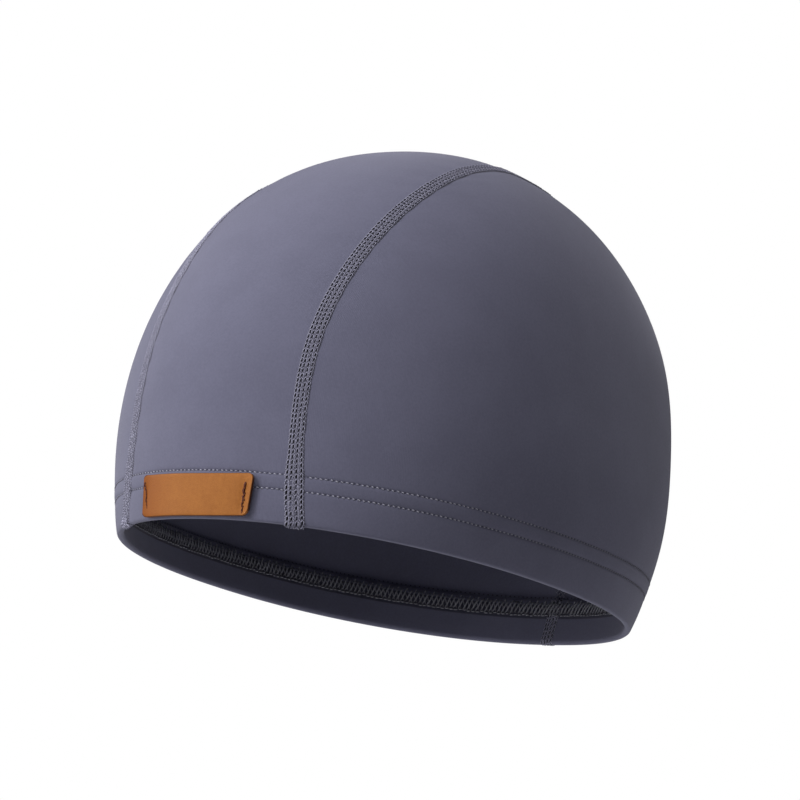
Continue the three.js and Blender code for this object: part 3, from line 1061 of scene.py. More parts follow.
@dataclass(frozen=True)
class CapPanels:
    """The three knit panels, each with its edge turned in as a hem."""

    form: CapForm
    hem: HemSizes
    line: HemLine
    side_cut: Cut = Cut(width=0.214, length=0.200, area=0.0268)
    strip_cut: Cut = Cut(width=0.064, length=0.301, area=0.0151)
    side_columns: int = 170
    side_rows: int = 92
    strip_columns: int = 48
    strip_rows: int = 150
    rows_meet: float = 88.0
    rows_square: float = 60.0
    seam_edge: float = 0.25 * MM
    strip_tip: float = 0.9 * MM
    tip_tries: int = 400
    groove: float = 0.20 * MM
    groove_width: float = 0.42 * MM
    puff: float = 0.14 * MM
    low_puff: float = 0.8
    pucker: float = 0.10 * MM
    pucker_length: float = 8.5 * MM
    pucker_reach: float = 7.0 * MM

    def relief(self, rise: np.ndarray, from_seam: np.ndarray, along: np.ndarray) -> np.ndarray:
        """Height of the outer face over the plain form.

        Args:
            rise: rise above the hem edge, or more than the hem's top further up.
            from_seam: distance from the nearest seam.
            along: length along that seam.
        Returns:
            Height at each point.
        """
        rows = sum(np.exp(-((rise - row) / self.groove_width) ** 2) for row in self.hem.rows)
        between = np.clip((rise - self.hem.lower_row) / (self.hem.upper_row - self.hem.lower_row), 0, 1)
        below = np.clip((rise - self.form.fold_radius) / (self.hem.lower_row - self.form.fold_radius), 0, 1)
        doubled = self.puff * (np.sin(math.pi * between) + self.low_puff * np.sin(math.pi * below))
        near = np.exp(-from_seam / self.pucker_reach)
        drawn = self.pucker * np.sin(math.tau * along / self.pucker_length) * near
        return doubled - self.groove * rows + drawn

    def hem_rows(self) -> tuple[np.ndarray, np.ndarray]:
        """Bases and folds of all hem rows."""
        return self.hem.all_rows(self.form, self.hem.outer_rises(self.form))

    def seam_bearing(self, rise: np.ndarray, back: bool, distance: float) -> np.ndarray:
        """Bearing beside the left seam at each rise, at the front or at the back."""
        turn = self.form.turn_at(Side.LEFT, rise, back)
        return self.form.bearing(self.form.beside_seam(Side.LEFT, turn, distance))

    def plain_face(self, hem_bearing: np.ndarray, body: np.ndarray) -> np.ndarray:
        """Grid of points of the plain outer face, from bearings of hem rows and directions of the others."""
        rise = np.clip(self.hem_rows()[0], self.form.fold_radius, self.hem.top)
        low = self.form.heading(self.form.lift_at(rise)[:, None], hem_bearing)
        return self.form.outer(np.concatenate([low, body]))

    def sheet(
        self, hem_bearing: np.ndarray, body: np.ndarray, across: np.ndarray, from_seam: np.ndarray,
        phase: float,
    ) -> Patch:
        """Builds one panel from its rows.

        Args:
            hem_bearing: grid of bearings of the hem rows.
            body: grid of directions of the rows above them.
            across: grid of lengths across, for the finish.
            from_seam: grid of distances from the nearest seam.
            phase: length by which the puckers along the seam are shifted.
        Returns:
            The closed sheet.
        """
        base, fold = self.hem_rows()
        count, more = len(base), len(body)
        height = base * np.cos(fold) + self.form.fold_radius * (1 - np.cos(fold)) * -0.5
        upwards = np.linalg.norm(np.diff(self.plain_face(hem_bearing, body)[count - 1:], axis=0), axis=2)
        low = np.repeat(height[:, None], upwards.shape[1], 1)
        up = np.concatenate([low, self.hem.top + np.cumsum(upwards, axis=0)])
        outside = np.concatenate([fold == 0, np.ones(more, bool)])[:, None]
        rise = np.where(outside, np.concatenate([base, np.full(more, FAR_UP)])[:, None], 0)
        raised = np.where(outside, self.relief(rise + 0 * up, from_seam, up + phase), 0)
        faces = []
        for shift in (0.0, -self.form.cloth):
            hem = self.form.hem_point(base[:, None], fold[:, None], hem_bearing, raised[:count] + shift)
            faces.append(np.concatenate([hem, self.form.in_cloth(body, -shift - raised[count:])]))
        return closed_sheet(faces[0], faces[1], stacked(across, up))

    def side_panel(self, side: Side, material: bpy.types.Material) -> None:
        """Panel from a front seam round to the centre back."""
        rise = np.maximum(self.hem_rows()[0], self.form.fold_radius)
        share = np.linspace(0, 1, self.side_columns)
        start, end = (self.seam_bearing(rise, back, self.seam_edge) for back in (False, True))
        hem_bearing = start[:, None] + (end - start)[:, None] * share
        step = np.linspace(0, 1, self.side_rows + 1)[1:]
        first, last = (self.form.turn_at(Side.LEFT, self.hem.top, back)[0] for back in (False, True))
        ends = [
            self.form.beside_seam(Side.LEFT, low + (high - low) * step, self.seam_edge)
            for low, high in ((first, self.rows_meet), (last, 180 - self.rows_meet))
        ]
        lifts = [np.arcsin(e[:, 2])[:, None] for e in ends]
        bearings = [self.form.bearing(e)[:, None] for e in ends]
        lift = lifts[0] + (lifts[1] - lifts[0]) * share
        body = self.form.heading(lift, bearings[0] + (bearings[1] - bearings[0]) * share)

        spans = np.linalg.norm(np.diff(self.plain_face(hem_bearing, body), axis=1), axis=2)
        length = np.concatenate([np.zeros((len(spans), 1)), np.cumsum(spans, axis=1)], axis=1)
        across = np.concatenate([
            self.line.reach(hem_bearing), self.line.reach(start[-1]) + length[len(rise):]
        ])
        patch = self.sheet(hem_bearing, body, across, np.minimum(length, length[:, -1:] - length), 0.0)
        if side is Side.RIGHT:
            patch.points[:, 0] *= -1
            patch = patch.outwards()
        piece = new_object(f"knit_side_panel_{side.word}", patch, material)
        self.side_cut.declare(piece)
        dress(piece, Slot.KNIT, f"side_panel_{side.word}")

    def centre_panel(self, material: bpy.types.Material) -> None:
        """Strip from the front hem over the crown to its point at the back."""
        rise = np.maximum(self.hem_rows()[0], self.form.fold_radius)
        share = np.linspace(-1, 1, self.strip_columns + 1)
        hem_bearing = self.seam_bearing(rise, False, -self.seam_edge)[:, None] * share
        tries = np.linspace(self.form.taper_start, self.form.seams_meet, self.tip_tries)
        last = tries[np.argmax(self.form.strip_half(tries) < self.strip_tip)]
        first = self.form.turn_at(Side.LEFT, self.hem.top, False)[0]
        turn = np.linspace(first, last, self.strip_rows + 1)[1:]
        edge = self.form.beside_seam(Side.LEFT, turn, -self.seam_edge)
        level = self.form.heading(np.arcsin(edge[:, 2])[:, None], self.form.bearing(edge)[:, None] * share)
        straight = unit(stacked(edge[:, :1] * share, edge[:, 1:2], edge[:, 2:]))
        blend = smoothstep(turn, 0, self.rows_square)[:, None, None]
        body = unit(level * (1 - blend) + straight * blend)

        spans = np.linalg.norm(np.diff(self.plain_face(hem_bearing, body), axis=1), axis=2)
        width = spans.sum(axis=1, keepdims=True)
        across = np.concatenate([self.line.reach(hem_bearing), width[len(rise):] / 2 * share])
        from_seam = width / 2 * (1 - np.abs(share))
        patch = self.sheet(hem_bearing, body, across, from_seam, self.pucker_length / 2)
        piece = new_object("knit_centre_panel", patch, material)
        self.strip_cut.declare(piece)
        dress(piece, Slot.KNIT, "centre_panel")


@dataclass(frozen=True)
class ChainColumn:
    """One column of chain loops: its place across the seam, and where its holes lie, in pitches."""

    across: float
    phase: float


COLUMNS = (
    ChainColumn(across=-1.98 * MM, phase=0.0),
    ChainColumn(across=-0.88 * MM, phase=0.0),
    ChainColumn(across=0.52 * MM, phase=0.25),
    ChainColumn(across=1.92 * MM, phase=0.5),
)


@dataclass(frozen=True)
class FlatSeam:
    """Flat seam: a band of thread over the butted panels, four columns of loops and a lattice inside."""

    form: CapForm
    hem: HemSizes
    side: Side
    seed: int
    half_width: float = 2.7 * MM
    pitch: float = 1.56 * MM
    hole_width: float = 0.56 * MM
    loop_length: float = 1.62 * MM
    thread: float = 0.145 * MM
    loop_height: float = 0.21 * MM
    loop_arch: float = 0.07 * MM
    slant: float = 0.14
    band_proud: float = 0.18 * MM
    band_pit: float = 0.14 * MM
    band_under: float = -0.12 * MM
    wide_share: float = 1.18
    narrow_share: float = 0.92
    inside_loft: float = 0.45
    turn_steps: int = 300
    join_gap: float = 2.6 * MM
    wander: float = 0.035 * MM
    lip: float = 1.3
    lip_length: float = 0.9 * MM
    wide_to: float = 12 * MM
    narrow_from: float = 26 * MM
    flat_to: float = 5 * MM
    at_edge: float = 0.1 * MM
    pit_width: float = 0.24 * MM
    edge_from: float = 0.86
    band_columns: int = 25
    band_steps: int = 4
    loop_steps: int = 10
    loop_taper: float = 0.22
    # Painted shade where each loop dives into the cloth.
    loop_shade: float = 0.6
    size_spread: float = 0.05
    cover_length: float = 0.75
    cover_rise: float = 0.13 * MM
    # Painted shade along each cover thread, darkest at its ends.
    cover_shade: tuple[float, ...] = (0.5, 0.1, 0.0, 0.1, 0.5)
    lattice_width: float = 0.94
    lattice_length: float = 1.25
    # Painted shade along each lattice thread, darkest at its ends.
    lattice_shade: tuple[float, ...] = (0.7, 0.1, 0.3, 0.0, 0.3, 0.1, 0.7)
    lattice_height: float = 0.22 * MM
    lattice_weave: float = 0.06 * MM

    @property
    def offsets(self) -> tuple[float, float, float]:
        """Distances of the band's two edges and its middle from the seam line."""
        return -self.half_width, 0.0, self.half_width

    def hem_rows(self, at_back: bool) -> tuple[np.ndarray, np.ndarray, np.ndarray]:
        """Middles, sides and rises of the course where it is turned in with a hem, inside rows at rise 0."""
        base, fold = self.hem.all_rows(self.form, self.hem.plain_rises(self.form))
        turn = self.form.turn_at(self.side, np.maximum(base, self.form.fold_radius), at_back)
        lines = []
        for distance in self.offsets:
            bearing = self.form.bearing(self.form.beside_seam(self.side, turn, distance))
            if at_back:
                bearing = np.where(bearing < 0, bearing + math.tau, bearing)
            lines.append(self.form.hem_point(base, fold, bearing, np.zeros(len(base))))
        return lines[1], lines[2] - lines[0], np.where(fold > math.pi / 2, 0, base)

    @cached_property
    def course(self) -> Course:
        """Line of the seam on the cloth, wider and lifted at the front hem's edge and flatter inside."""
        front = self.hem_rows(False)
        first = self.form.turn_at(self.side, self.hem.top, False)[0]
        through = self.side is Side.LEFT
        last = self.form.turn_at(self.side, self.hem.top, True)[0] if through else self.form.seams_meet
        turn = np.linspace(first, last, self.turn_steps + 1)[1:]
        lines = [self.form.in_cloth(self.form.beside_seam(self.side, turn, d), 0.0) for d in self.offsets]
        body = lines[1], lines[2] - lines[0], self.form.outer(self.form.seam_line(self.side, turn))[:, 2]
        parts = [front, body]
        if through:
            parts.append(tuple(values[::-1][1:] for values in self.hem_rows(True)))
        middle, across, rise = (np.concatenate(values) for values in zip(*parts))
        at_front = middle[:, 1] < 0
        wide = np.where(at_front, 1 - smoothstep(rise, self.wide_to, self.narrow_from), 0)
        spread = self.narrow_share + (self.wide_share - self.narrow_share) * wide
        inside = np.where(at_front, rise < self.at_edge, 1 - smoothstep(rise, 0, self.flat_to))
        edge = np.exp(-((rise - self.form.fold_radius) / self.lip_length) ** 2)
        edge = edge * (at_front & (rise > self.at_edge))
        loft = 1 - (1 - self.inside_loft) * inside + self.lip * edge
        return Course(middle, unit(across), spread, loft)

    def end(self, other: "FlatSeam | None") -> float:
        """Length along the course at which this seam runs into another, or its full length."""
        if other is None:
            return self.course.length
        gaps = np.linalg.norm(self.course.middle[:, None] - other.course.middle[None], axis=2).min(axis=1)
        close = np.argmax(gaps < self.join_gap)
        return float(self.course.reach[close])

    def loops(self, end: float, rng: np.random.Generator) -> list[Patch]:
        """Chain loops on the face of the seam, one round each hole."""
        turn = np.arange(self.loop_steps) / self.loop_steps * math.tau
        half = self.hole_width / 2 + self.thread
        along = self.loop_length / 2 * np.cos(turn)
        across = half * np.sin(turn) * (1 - self.loop_taper * np.cos(turn)) + self.slant * along
        height = self.loop_height + self.loop_arch * np.cos(turn)
        # Painted shade at the loop's end where it dives into the cloth.
        low = smoothstep(-np.cos(turn), 0.3, 1.0) * self.loop_shade
        ring = Strand(stacked(across, along, height), self.thread, 5, True, painted_shade=low).build()
        made = []
        for column in COLUMNS:
            spots = np.arange((column.phase + 1) * self.pitch, end - self.pitch * 0.6, self.pitch)
            count = len(spots)
            wander = self.wander
            places = scattered(rng, count, (column.across, wander), (spots, wander), (0.0, wander))
            scale = 1 + rng.normal(0, self.size_spread, (count, 3)) * np.array([1, 1, 0])
            made.append(ring.repeated(places, scale).moved(self.course.place))
        return made

    def cover(self, end: float, rng: np.random.Generator) -> list[Patch]:
        """Cover threads that run slantwise between the columns."""
        made = []
        share = np.linspace(0, 1, len(self.cover_shade))
        clear = self.hole_width / 2 + self.thread
        for left, right in zip(COLUMNS, COLUMNS[1:]):
            low, high = left.across + clear, right.across - clear
            for part in range(2):
                across = low + (high - low) * share
                along = (0.5 - share) * self.pitch * self.cover_length
                height = self.band_proud + self.thread * 0.35 + self.cover_rise * np.sin(math.pi * share)
                painted_shade = np.array(self.cover_shade)
                strand = Strand(stacked(across, along, height), self.thread * 0.85, 4, painted_shade=painted_shade)
                start = (left.phase + 1.25 + part / 2) * self.pitch
                spots = np.arange(start, end - self.pitch, self.pitch)
                places = scattered(rng, len(spots), (0.0, self.wander), (spots, self.wander * 2), (0.0, 0.0))
                made.append(strand.build().repeated(places).moved(self.course.place))
        return made

    def band(self, end: float) -> Patch:
        """Band of packed thread under the loops, with a pit at each hole."""
        across = np.linspace(-self.half_width, self.half_width, self.band_columns)[None]
        along = np.append(np.arange(0, end, self.pitch / self.band_steps), end)[:, None]
        pits = sum(
            np.exp(-((across - c.across) / self.pit_width) ** 2)
            * (0.5 + 0.5 * np.cos(math.tau * (along / self.pitch - c.phase)))
            for c in COLUMNS
        )
        edge = 1 - smoothstep(np.abs(across), self.half_width * self.edge_from, self.half_width)
        height = (self.band_proud - self.band_pit * pits) * edge + self.band_under * 0.4 * (1 - edge)
        grid = stacked(across, along, height)
        under = stacked(across, along, self.band_under)
        return closed_sheet(grid, under, stacked(along, across)).moved(self.course.place)

    def lattice(self, start: float, end: float, rng: np.random.Generator) -> list[Patch]:
        """Criss-cross threads on the inner side of the cloth, down to the hem's raw edge."""
        made = []
        painted_shade = np.array(self.lattice_shade)
        share = np.linspace(-1, 1, len(painted_shade))
        for lean in (-1, 1):
            across = share * self.half_width * self.lattice_width
            along = lean * share * self.pitch * self.lattice_length
            height = self.lattice_height + lean * self.lattice_weave * np.cos(3 * math.pi * share)
            strand = Strand(stacked(across, along, height), self.thread * 0.95, 4, painted_shade=painted_shade).build()
            spots = np.arange(start, end, self.pitch)
            places = scattered(rng, len(spots), (0.0, 0.0), (spots, self.wander), (0.0, 0.0))
            made.append(strand.repeated(places).moved(self.place_inside))
        return made

    def place_inside(self, points: np.ndarray) -> np.ndarray:
        """Places points on the inner side of the cloth, heights into the hollow."""
        turned = points * np.array([1, 1, -1.0])
        turned[:, 2] -= self.form.cloth
        return self.course.place(turned)

    def build(
        self, packed: bpy.types.Material, thread: bpy.types.Material, other: "FlatSeam | None" = None
    ) -> None:
        """Builds and dresses the seam: its band, and the loops and threads over and under it.

        Args:
            packed: finish of the band.
            thread: finish of the single threads.
            other: the seam that this one runs into, if it does.
        """
        rng = np.random.default_rng(self.seed)
        end = self.end(other)
        last_hem_row = len(self.hem.folded(self.form)[0]) + self.hem.outer_rows - 1
        hem_length = self.course.reach[last_hem_row] - (self.hem.top - self.hem.depth)
        inner_end = end - (hem_length if other is None else 0)
        word = self.side.word
        dress(new_object(f"flat_seam_{word}", self.band(end), packed), Slot.THREAD, f"seam_{word}")
        threads = [*self.loops(end, rng), *self.cover(end, rng), *self.lattice(hem_length, inner_end, rng)]
        dress(new_object(f"seam_loops_{word}", joined(threads), thread), Slot.THREAD)


@dataclass(frozen=True)
class HemStitching:
    """Two needle rows round the outside of the hem and the looper band inside it."""

    form: CapForm
    hem: HemSizes
    line: HemLine
    seed: int
    clear_of_seam: float = 3.0 * MM
    label_half: float = 21.2 * MM
    dash_radius: float = 0.14 * MM
    dash_share: float = 0.52
    dash_lean: float = 0.24 * MM
    dash_bow: float = 0.16 * MM
    dash_base: float = -0.13 * MM
    # Painted shade along each dash, darkest at its ends in the cloth.
    dash_shade: tuple[float, ...] = (0.9, 0.2, 0.0, 0.0, 0.0, 0.2, 0.9)
    dash_spread: float = 0.10
    # Painted shade added to the dashes away from the front, by the table below.
    side_shade: float = 0.55
    side_shade_at: tuple[float, ...] = (-60, -26, -18, 60, 125)
    side_shade_level: tuple[float, ...] = (1, 0.6, 0, 0, 1)
    band_radius: float = 0.25 * MM
    band_slant: float = 2.5 * MM
    band_bend: float = 0.15 * MM
    band_spread: float = 0.09
    forward_base: float = 0.08 * MM
    forward_bow: float = 0.42 * MM
    backward_base: float = 0.05 * MM
    backward_bow: float = 0.22 * MM
    bead_dip: float = 0.22 * MM
    bead_bow: float = 0.26 * MM
    tick_slant: float = 0.5 * MM
    tick_length: float = 0.95 * MM
    band_raise: float = 0.25 * MM
    raise_ends: tuple[float, float] = (2.4 * MM, 4.0 * MM)
    wander: float = 0.06 * MM

    def seam_reaches(self) -> list[float]:
        """Lengths round the hem at which the seams cross it."""
        turn = self.form.turn_at(Side.LEFT, self.hem.girth_rise, False)
        bearing = self.form.bearing(self.form.seam_line(Side.LEFT, turn))[0]
        reach = float(self.line.reach(bearing))
        half = self.line.girth / 2
        return [-half, -reach, reach, half]

    def side_shade_share(self, reach: np.ndarray) -> np.ndarray:
        """Share of added painted shade on the stitches: none in front, full over the ears and behind."""
        return np.interp(reach / MM, self.side_shade_at, self.side_shade_level)

    def needle_rows(self, material: bpy.types.Material) -> None:
        """Short thread dashes of the two rows outside."""
        rng = np.random.default_rng(self.seed)
        painted_shade = np.array(self.dash_shade)
        share = np.linspace(-0.5, 0.5, len(painted_shade))
        length = self.hem.pitch * self.dash_share
        height = self.dash_bow * np.cos(math.pi * share) + self.dash_base
        line = stacked(share * length, -share * self.dash_lean, height)
        dash = Strand(line, self.dash_radius, 5, painted_shade=painted_shade).build()
        count = int(self.line.girth / 2 / self.hem.pitch)
        reach = (np.arange(-count, count) + 0.75) * self.hem.pitch
        seams = np.array(self.seam_reaches())
        reach = reach[(np.abs(reach[:, None] - seams[None]) > self.clear_of_seam).all(axis=1)]
        made = []
        for rise in self.hem.rows:
            kept = reach[np.abs(reach) > self.label_half] if rise == self.hem.lower_row else reach
            size = len(kept)
            spots = scattered(
                rng, size, (kept, self.wander), (rise, self.wander * 0.6), (-0.02 * MM, self.wander * 0.4)
            )
            scale = 1 + rng.normal(0, self.dash_spread, (size, 3)) * np.array([1, 1, 0])
            row = dash.repeated(spots, scale)
            # Painted shade on the dashes, more of it away from the front.
            row.painted_shade = np.clip(row.painted_shade + self.side_shade * self.side_shade_share(row.points[:, 0]), 0, 1)
            made.append(row.moved(self.line.outside))
        dress(new_object("hem_needle_rows", joined(made), material), Slot.THREAD)

    def looper_band(self, material: bpy.types.Material) -> None:
        """Slanted looper threads inside the hem, with small loops along both edges."""
        rng = np.random.default_rng(self.seed + 1)
        low, high = self.hem.band_low, self.hem.band_high
        middle, half_rise = (low + high) / 2, (high - low) / 2
        count = int(self.line.girth / self.hem.pitch)
        pitch = self.line.girth / count
        reach = (np.arange(count) + 0.5) * pitch - self.line.girth / 2
        raised = sum(
            self.band_raise * (1 - smoothstep(np.abs(reach - seam), *self.raise_ends))
            for seam in self.seam_reaches()
        )
        share = np.linspace(-1, 1, 8)
        bulge = np.cos(share * math.pi / 2)
        # Painted shade at the ends of the slanted strands, where they dive into the cloth.
        ends = np.clip(np.abs(share) * 1.5 - 0.75, 0, 0.7)
        forward = stacked(
            -share * self.band_slant / 2 + self.band_bend * np.sin(math.pi * share),
            share * half_rise * 0.92,
            self.forward_base + self.forward_bow * bulge,
        )
        backward = stacked(
            share * self.band_slant * 0.36,
            share * half_rise * 0.95,
            self.backward_base + self.backward_bow * bulge,
        )
        arc = np.linspace(0, 1, 6)
        bow = np.sin(math.pi * arc)
        bead = stacked((arc - 0.5) * pitch * 0.95, -self.bead_dip * bow, self.bead_bow * bow)
        tick = stacked(-(arc - 0.5) * self.tick_slant, (arc - 0.5) * self.tick_length, self.bead_bow * bow)
        # Painted shade at the ends of the edge loops.
        dive_shade = np.array([0.8, 0.2, 0.0, 0.0, 0.2, 0.8])
        strands = (
            (Strand(forward, self.band_radius, 5, painted_shade=ends).build(), middle, 1, 0.0),
            # The backward strands lie under the others and get more painted shade all along.
            (Strand(backward, self.band_radius * 0.8, 4, painted_shade=ends + 0.25).build(), middle, 1, 0.5),
            (Strand(bead, self.band_radius * 0.75, 5, painted_shade=dive_shade).build(), low, 1, 0.2),
            (Strand(tick, self.band_radius * 0.7, 5, painted_shade=dive_shade).build(), high - 0.1 * MM, 2, 0.4),
        )
        made = []
        for strand, rise, every, shift in strands:
            size = len(reach[::every])
            spots = scattered(
                rng, size,
                (reach[::every] + shift * pitch, self.wander),
                (rise, self.wander * 1.5),
                (raised[::every], self.wander * 0.5),
            )
            scale = 1 + rng.normal(0, self.band_spread, (size, 3))
            made.append(strand.repeated(spots, scale).moved(self.line.inside))
        dress(new_object("hem_looper_band", joined(made), material), Slot.THREAD)


@dataclass(frozen=True)
class TackRow:
    """Run of tack stitches: the label's end it is at, its place from that end and the middle, its thread."""

    end: int
    inset: float
    top: float
    bottom: float
    lean: float
    stitches: int
    radius: float
    rough: float


TACKS = (
    TackRow(
        end=-1, inset=1.0 * MM, top=4.2 * MM, bottom=-4.0 * MM, lean=1.0 * MM, stitches=7,
        radius=0.15 * MM, rough=0.10 * MM,
    ),
    TackRow(
        end=1, inset=2.2 * MM, top=3.3 * MM, bottom=-5.8 * MM, lean=-0.2 * MM, stitches=9,
        radius=0.27 * MM, rough=0.20 * MM,
    ),
)


@dataclass(frozen=True)
class LeatherLabel:
    """Bare leather label with rounded corners, tacked at both ends to the front of the hem."""

    form: CapForm
    length: float = 40.4 * MM
    height: float = 12.9 * MM
    thickness: float = 1.5 * MM
    right_corner: float = 1.1 * MM
    left_corner: float = 2.2 * MM
    rise: float = 1.72 * MM
    shift: float = 1.45 * MM
    left_rise: float = 0.85 * MM
    stand_off: float = 0.25 * MM
    end_lift: float = 0.80 * MM
    lift_length: float = 3.0 * MM
    edge_round: float = 0.30 * MM
    tack_press: float = 0.34 * MM
    press_width: float = 0.8 * MM
    uneven: float = 0.05 * MM
    uneven_along: float = 5.1 * MM
    uneven_up: float = 3.7 * MM
    tack_base: float = 0.02 * MM
    tack_bow: float = 0.14 * MM
    tack_bend: float = 0.05 * MM
    table_end: float = 0.6
    table_rows: int = 241
    columns: int = 36
    rows: int = 12
    seed: int = 5

    def reach_table(self) -> tuple[np.ndarray, np.ndarray]:
        """Bearings across the label and the length reached at each, at the label's middle height."""
        bearing = np.linspace(-self.table_end, self.table_end, self.table_rows)
        lift = self.form.lift_at(self.rise + self.height / 2)
        line = self.form.outer(self.form.heading(lift, bearing))
        reach = reached(line)
        return bearing, reach - reach[len(reach) // 2]

    def place(self, points: np.ndarray) -> np.ndarray:
        """Bends points of the flat label, its back at height 0, on to the hem."""
        bearings, reach = self.reach_table()
        bearing = np.interp(points[:, 0] + self.shift, reach, bearings)
        half = self.length / 2
        upturned = self.left_rise * np.clip(points[:, 0] / half, 0, 1) ** 2
        rise = self.rise + self.height / 2 + points[:, 1] + upturned
        beyond = np.clip((np.abs(points[:, 0]) - half + self.lift_length) / self.lift_length, 0, 1)
        off = self.stand_off + self.end_lift * beyond ** 2 + points[:, 2]
        return self.form.in_cloth(self.form.heading(self.form.lift_at(rise), bearing), -off)

    def model_flat(self) -> bpy.types.Object:
        """Models the label flat, at its size, with Blender's operators."""
        bpy.ops.object.select_all(action="DESELECT")
        bpy.ops.mesh.primitive_cube_add(size=1, location=(0, 0, self.thickness / 2))
        label = bpy.context.object
        label.scale = (self.length, self.height, self.thickness)
        bpy.ops.object.transform_apply(location=True, rotation=True, scale=True)
        bpy.ops.object.mode_set(mode="EDIT")
        for end, corner in ((1, self.left_corner), (-1, self.right_corner)):
            self.select_edges(label, lambda a, b: self.is_upright(a, b) and end * a.x > self.length * 0.49)
            bpy.ops.mesh.bevel(offset=corner, segments=6, affect="EDGES", clamp_overlap=True)
        self.select_edges(label, lambda a, b: min(a.z, b.z) > self.thickness * 0.9 and self.on_outline(a, b))
        bpy.ops.mesh.bevel(offset=self.edge_round, segments=3, affect="EDGES")
        for plane, normal in self.cuts():
            bpy.ops.mesh.select_all(action="SELECT")
            bpy.ops.mesh.bisect(plane_co=plane, plane_no=normal)
        bpy.ops.mesh.select_all(action="SELECT")
        bpy.ops.mesh.normals_make_consistent(inside=False)
        bpy.ops.mesh.select_all(action="DESELECT")
        bpy.ops.object.mode_set(mode="OBJECT")
        return label

    def cuts(self) -> list[tuple[Vector, Vector]]:
        """Planes that divide the flat label so that it can bend."""
        spans = (self.columns, self.length, Vector((1, 0, 0))), (self.rows, self.height, Vector((0, 1, 0)))
        return [
            (normal * ((i / count - 0.5) * size), normal)
            for count, size, normal in spans
            for i in range(1, count)
        ]

    def is_upright(self, a: Vector, b: Vector) -> bool:
        """Whether an edge between two points runs from the label's back to its face."""
        return abs(a.z - b.z) > self.thickness / 2

    def on_outline(self, a: Vector, b: Vector) -> bool:
        """Whether an edge between two points lies on the label's outline."""
        return all(self.outline_distance(p.x, p.y) > -0.02 * MM for p in (a, b))

    def outline_distance(self, x: float, y: float) -> float:
        """Distance outside the rounded outline, negative within it."""
        corner = self.left_corner if x > 0 else self.right_corner
        out_x = max(abs(x) - (self.length / 2 - corner), 0)
        out_y = max(abs(y) - (self.height / 2 - corner), 0)
        return math.hypot(out_x, out_y) - corner

    def select_edges(self, piece: bpy.types.Object, wanted: Callable[[Vector, Vector], bool]) -> None:
        """Selects the edges whose two ends pass a test together, and nothing else."""
        bpy.ops.mesh.select_mode(type="EDGE")
        bpy.ops.mesh.select_all(action="DESELECT")
        shape = bmesh.from_edit_mesh(piece.data)
        for edge in shape.edges:
            edge.select_set(wanted(edge.verts[0].co, edge.verts[1].co))
        bmesh.update_edit_mesh(piece.data)

    def press(self, points: np.ndarray) -> np.ndarray:
        """Lowers the top of the flat label where the tacks pull it in, with slight unevenness."""
        pressed = points.copy()
        share = np.clip(points[:, 2] / self.thickness, 0, 1)
        for row in TACKS:
            away = (points[:, 0] - row.end * (self.length / 2 - row.inset)) / self.press_width
            middle, half = (row.top + row.bottom) / 2, (row.top - row.bottom) / 2
            ends = 1 - smoothstep(np.abs(points[:, 1] - middle), half * 0.85, half * 1.15)
            pressed[:, 2] -= self.tack_press * np.exp(-away ** 2) * ends * share
        waves_here = np.sin(points[:, 0] / self.uneven_along) * np.cos(points[:, 1] / self.uneven_up)
        pressed[:, 2] += self.uneven * waves_here * share
        return pressed

    def patch(self, material: bpy.types.Material) -> None:
        """The leather, bent on to the hem."""
        label = self.model_flat()
        label.name = "leather_label"
        mesh = label.data
        flat = np.zeros(len(mesh.vertices) * 3, np.float32)
        mesh.vertices.foreach_get("co", flat)
        flat = flat.reshape(-1, 3).astype(float)
        for layer in list(mesh.uv_layers):
            mesh.uv_layers.remove(layer)
        layer = mesh.uv_layers.new(name=UV_MAP)
        corners = np.zeros(len(mesh.loops), np.int32)
        mesh.loops.foreach_get("vertex_index", corners)
        layer.data.foreach_set("uv", flat[corners, :2].astype(np.float32).ravel())
        mesh.vertices.foreach_set("co", self.place(self.press(flat)).astype(np.float32).ravel())
        mesh.update()
        mesh.shade_smooth()
        mesh.materials.append(material)
        dress(label, Slot.LEATHER, "label")

    def tacks(self, material: bpy.types.Material) -> None:
        """Rough runs of short dark stitches near both ends."""
        rng = np.random.default_rng(self.seed)
        share = np.linspace(-1, 1, 7)
        # Painted shade at the ends of each stitch, where it dives into the leather.
        painted_shade = np.clip(np.abs(share) * 2 - 1.4, 0, 0.6)
        made = []
        for row in TACKS:
            step = (row.top - row.bottom) / row.stitches
            for i in range(row.stitches):
                fall = (i + 0.5) / row.stitches
                rise = row.top - (i + 0.5) * step
                radius = row.radius * (1.25 - 0.7 * fall) * rng.uniform(0.85, 1.15)
                at = row.end * (self.length / 2 - row.inset - row.lean * (fall - 0.5))
                at += rng.normal(0, row.rough)
                half = step * rng.uniform(0.65, 0.95)
                tilt = rng.normal(0.0, row.rough * 1.6)
                top = self.thickness - self.tack_press + self.tack_base
                line = stacked(
                    at + tilt * share + self.tack_bend * np.sin(3 * share),
                    rise + half * share,
                    top + (radius * 0.6 + self.tack_bow) * np.cos(share * math.pi / 2),
                )
                made.append(Strand(line, radius, 5, painted_shade=painted_shade).build())
        dress(new_object("label_tacks", joined(made).moved(self.place), material), Slot.THREAD)


@dataclass(frozen=True)
class AreaLight:
    """One soft white light: where it stands seen from the camera, its size and its power."""

    name: str
    right: float
    up: float
    near: float
    power: float
    size: float = 0.6


LIGHTS = (
    AreaLight("left_high_front", right=-1.1, up=0.9, near=0.8, power=13.8),
    AreaLight("left_low_front", right=-1.4, up=0.15, near=0.9, power=4.4),
    AreaLight("left_side", right=-1.6, up=0.5, near=0.0, power=5.5),
    AreaLight("left_back", right=-1.3, up=0.7, near=-0.8, power=11.0),
    AreaLight("top_front", right=-0.2, up=1.5, near=0.7, power=14.0),
    AreaLight("top_back", right=0.0, up=1.5, near=-0.7, power=5.0),
    AreaLight("front", right=0.3, up=0.2, near=1.7, size=0.7, power=2.3),
    AreaLight("right_back", right=1.3, up=0.7, near=-0.9, power=6.4),
)


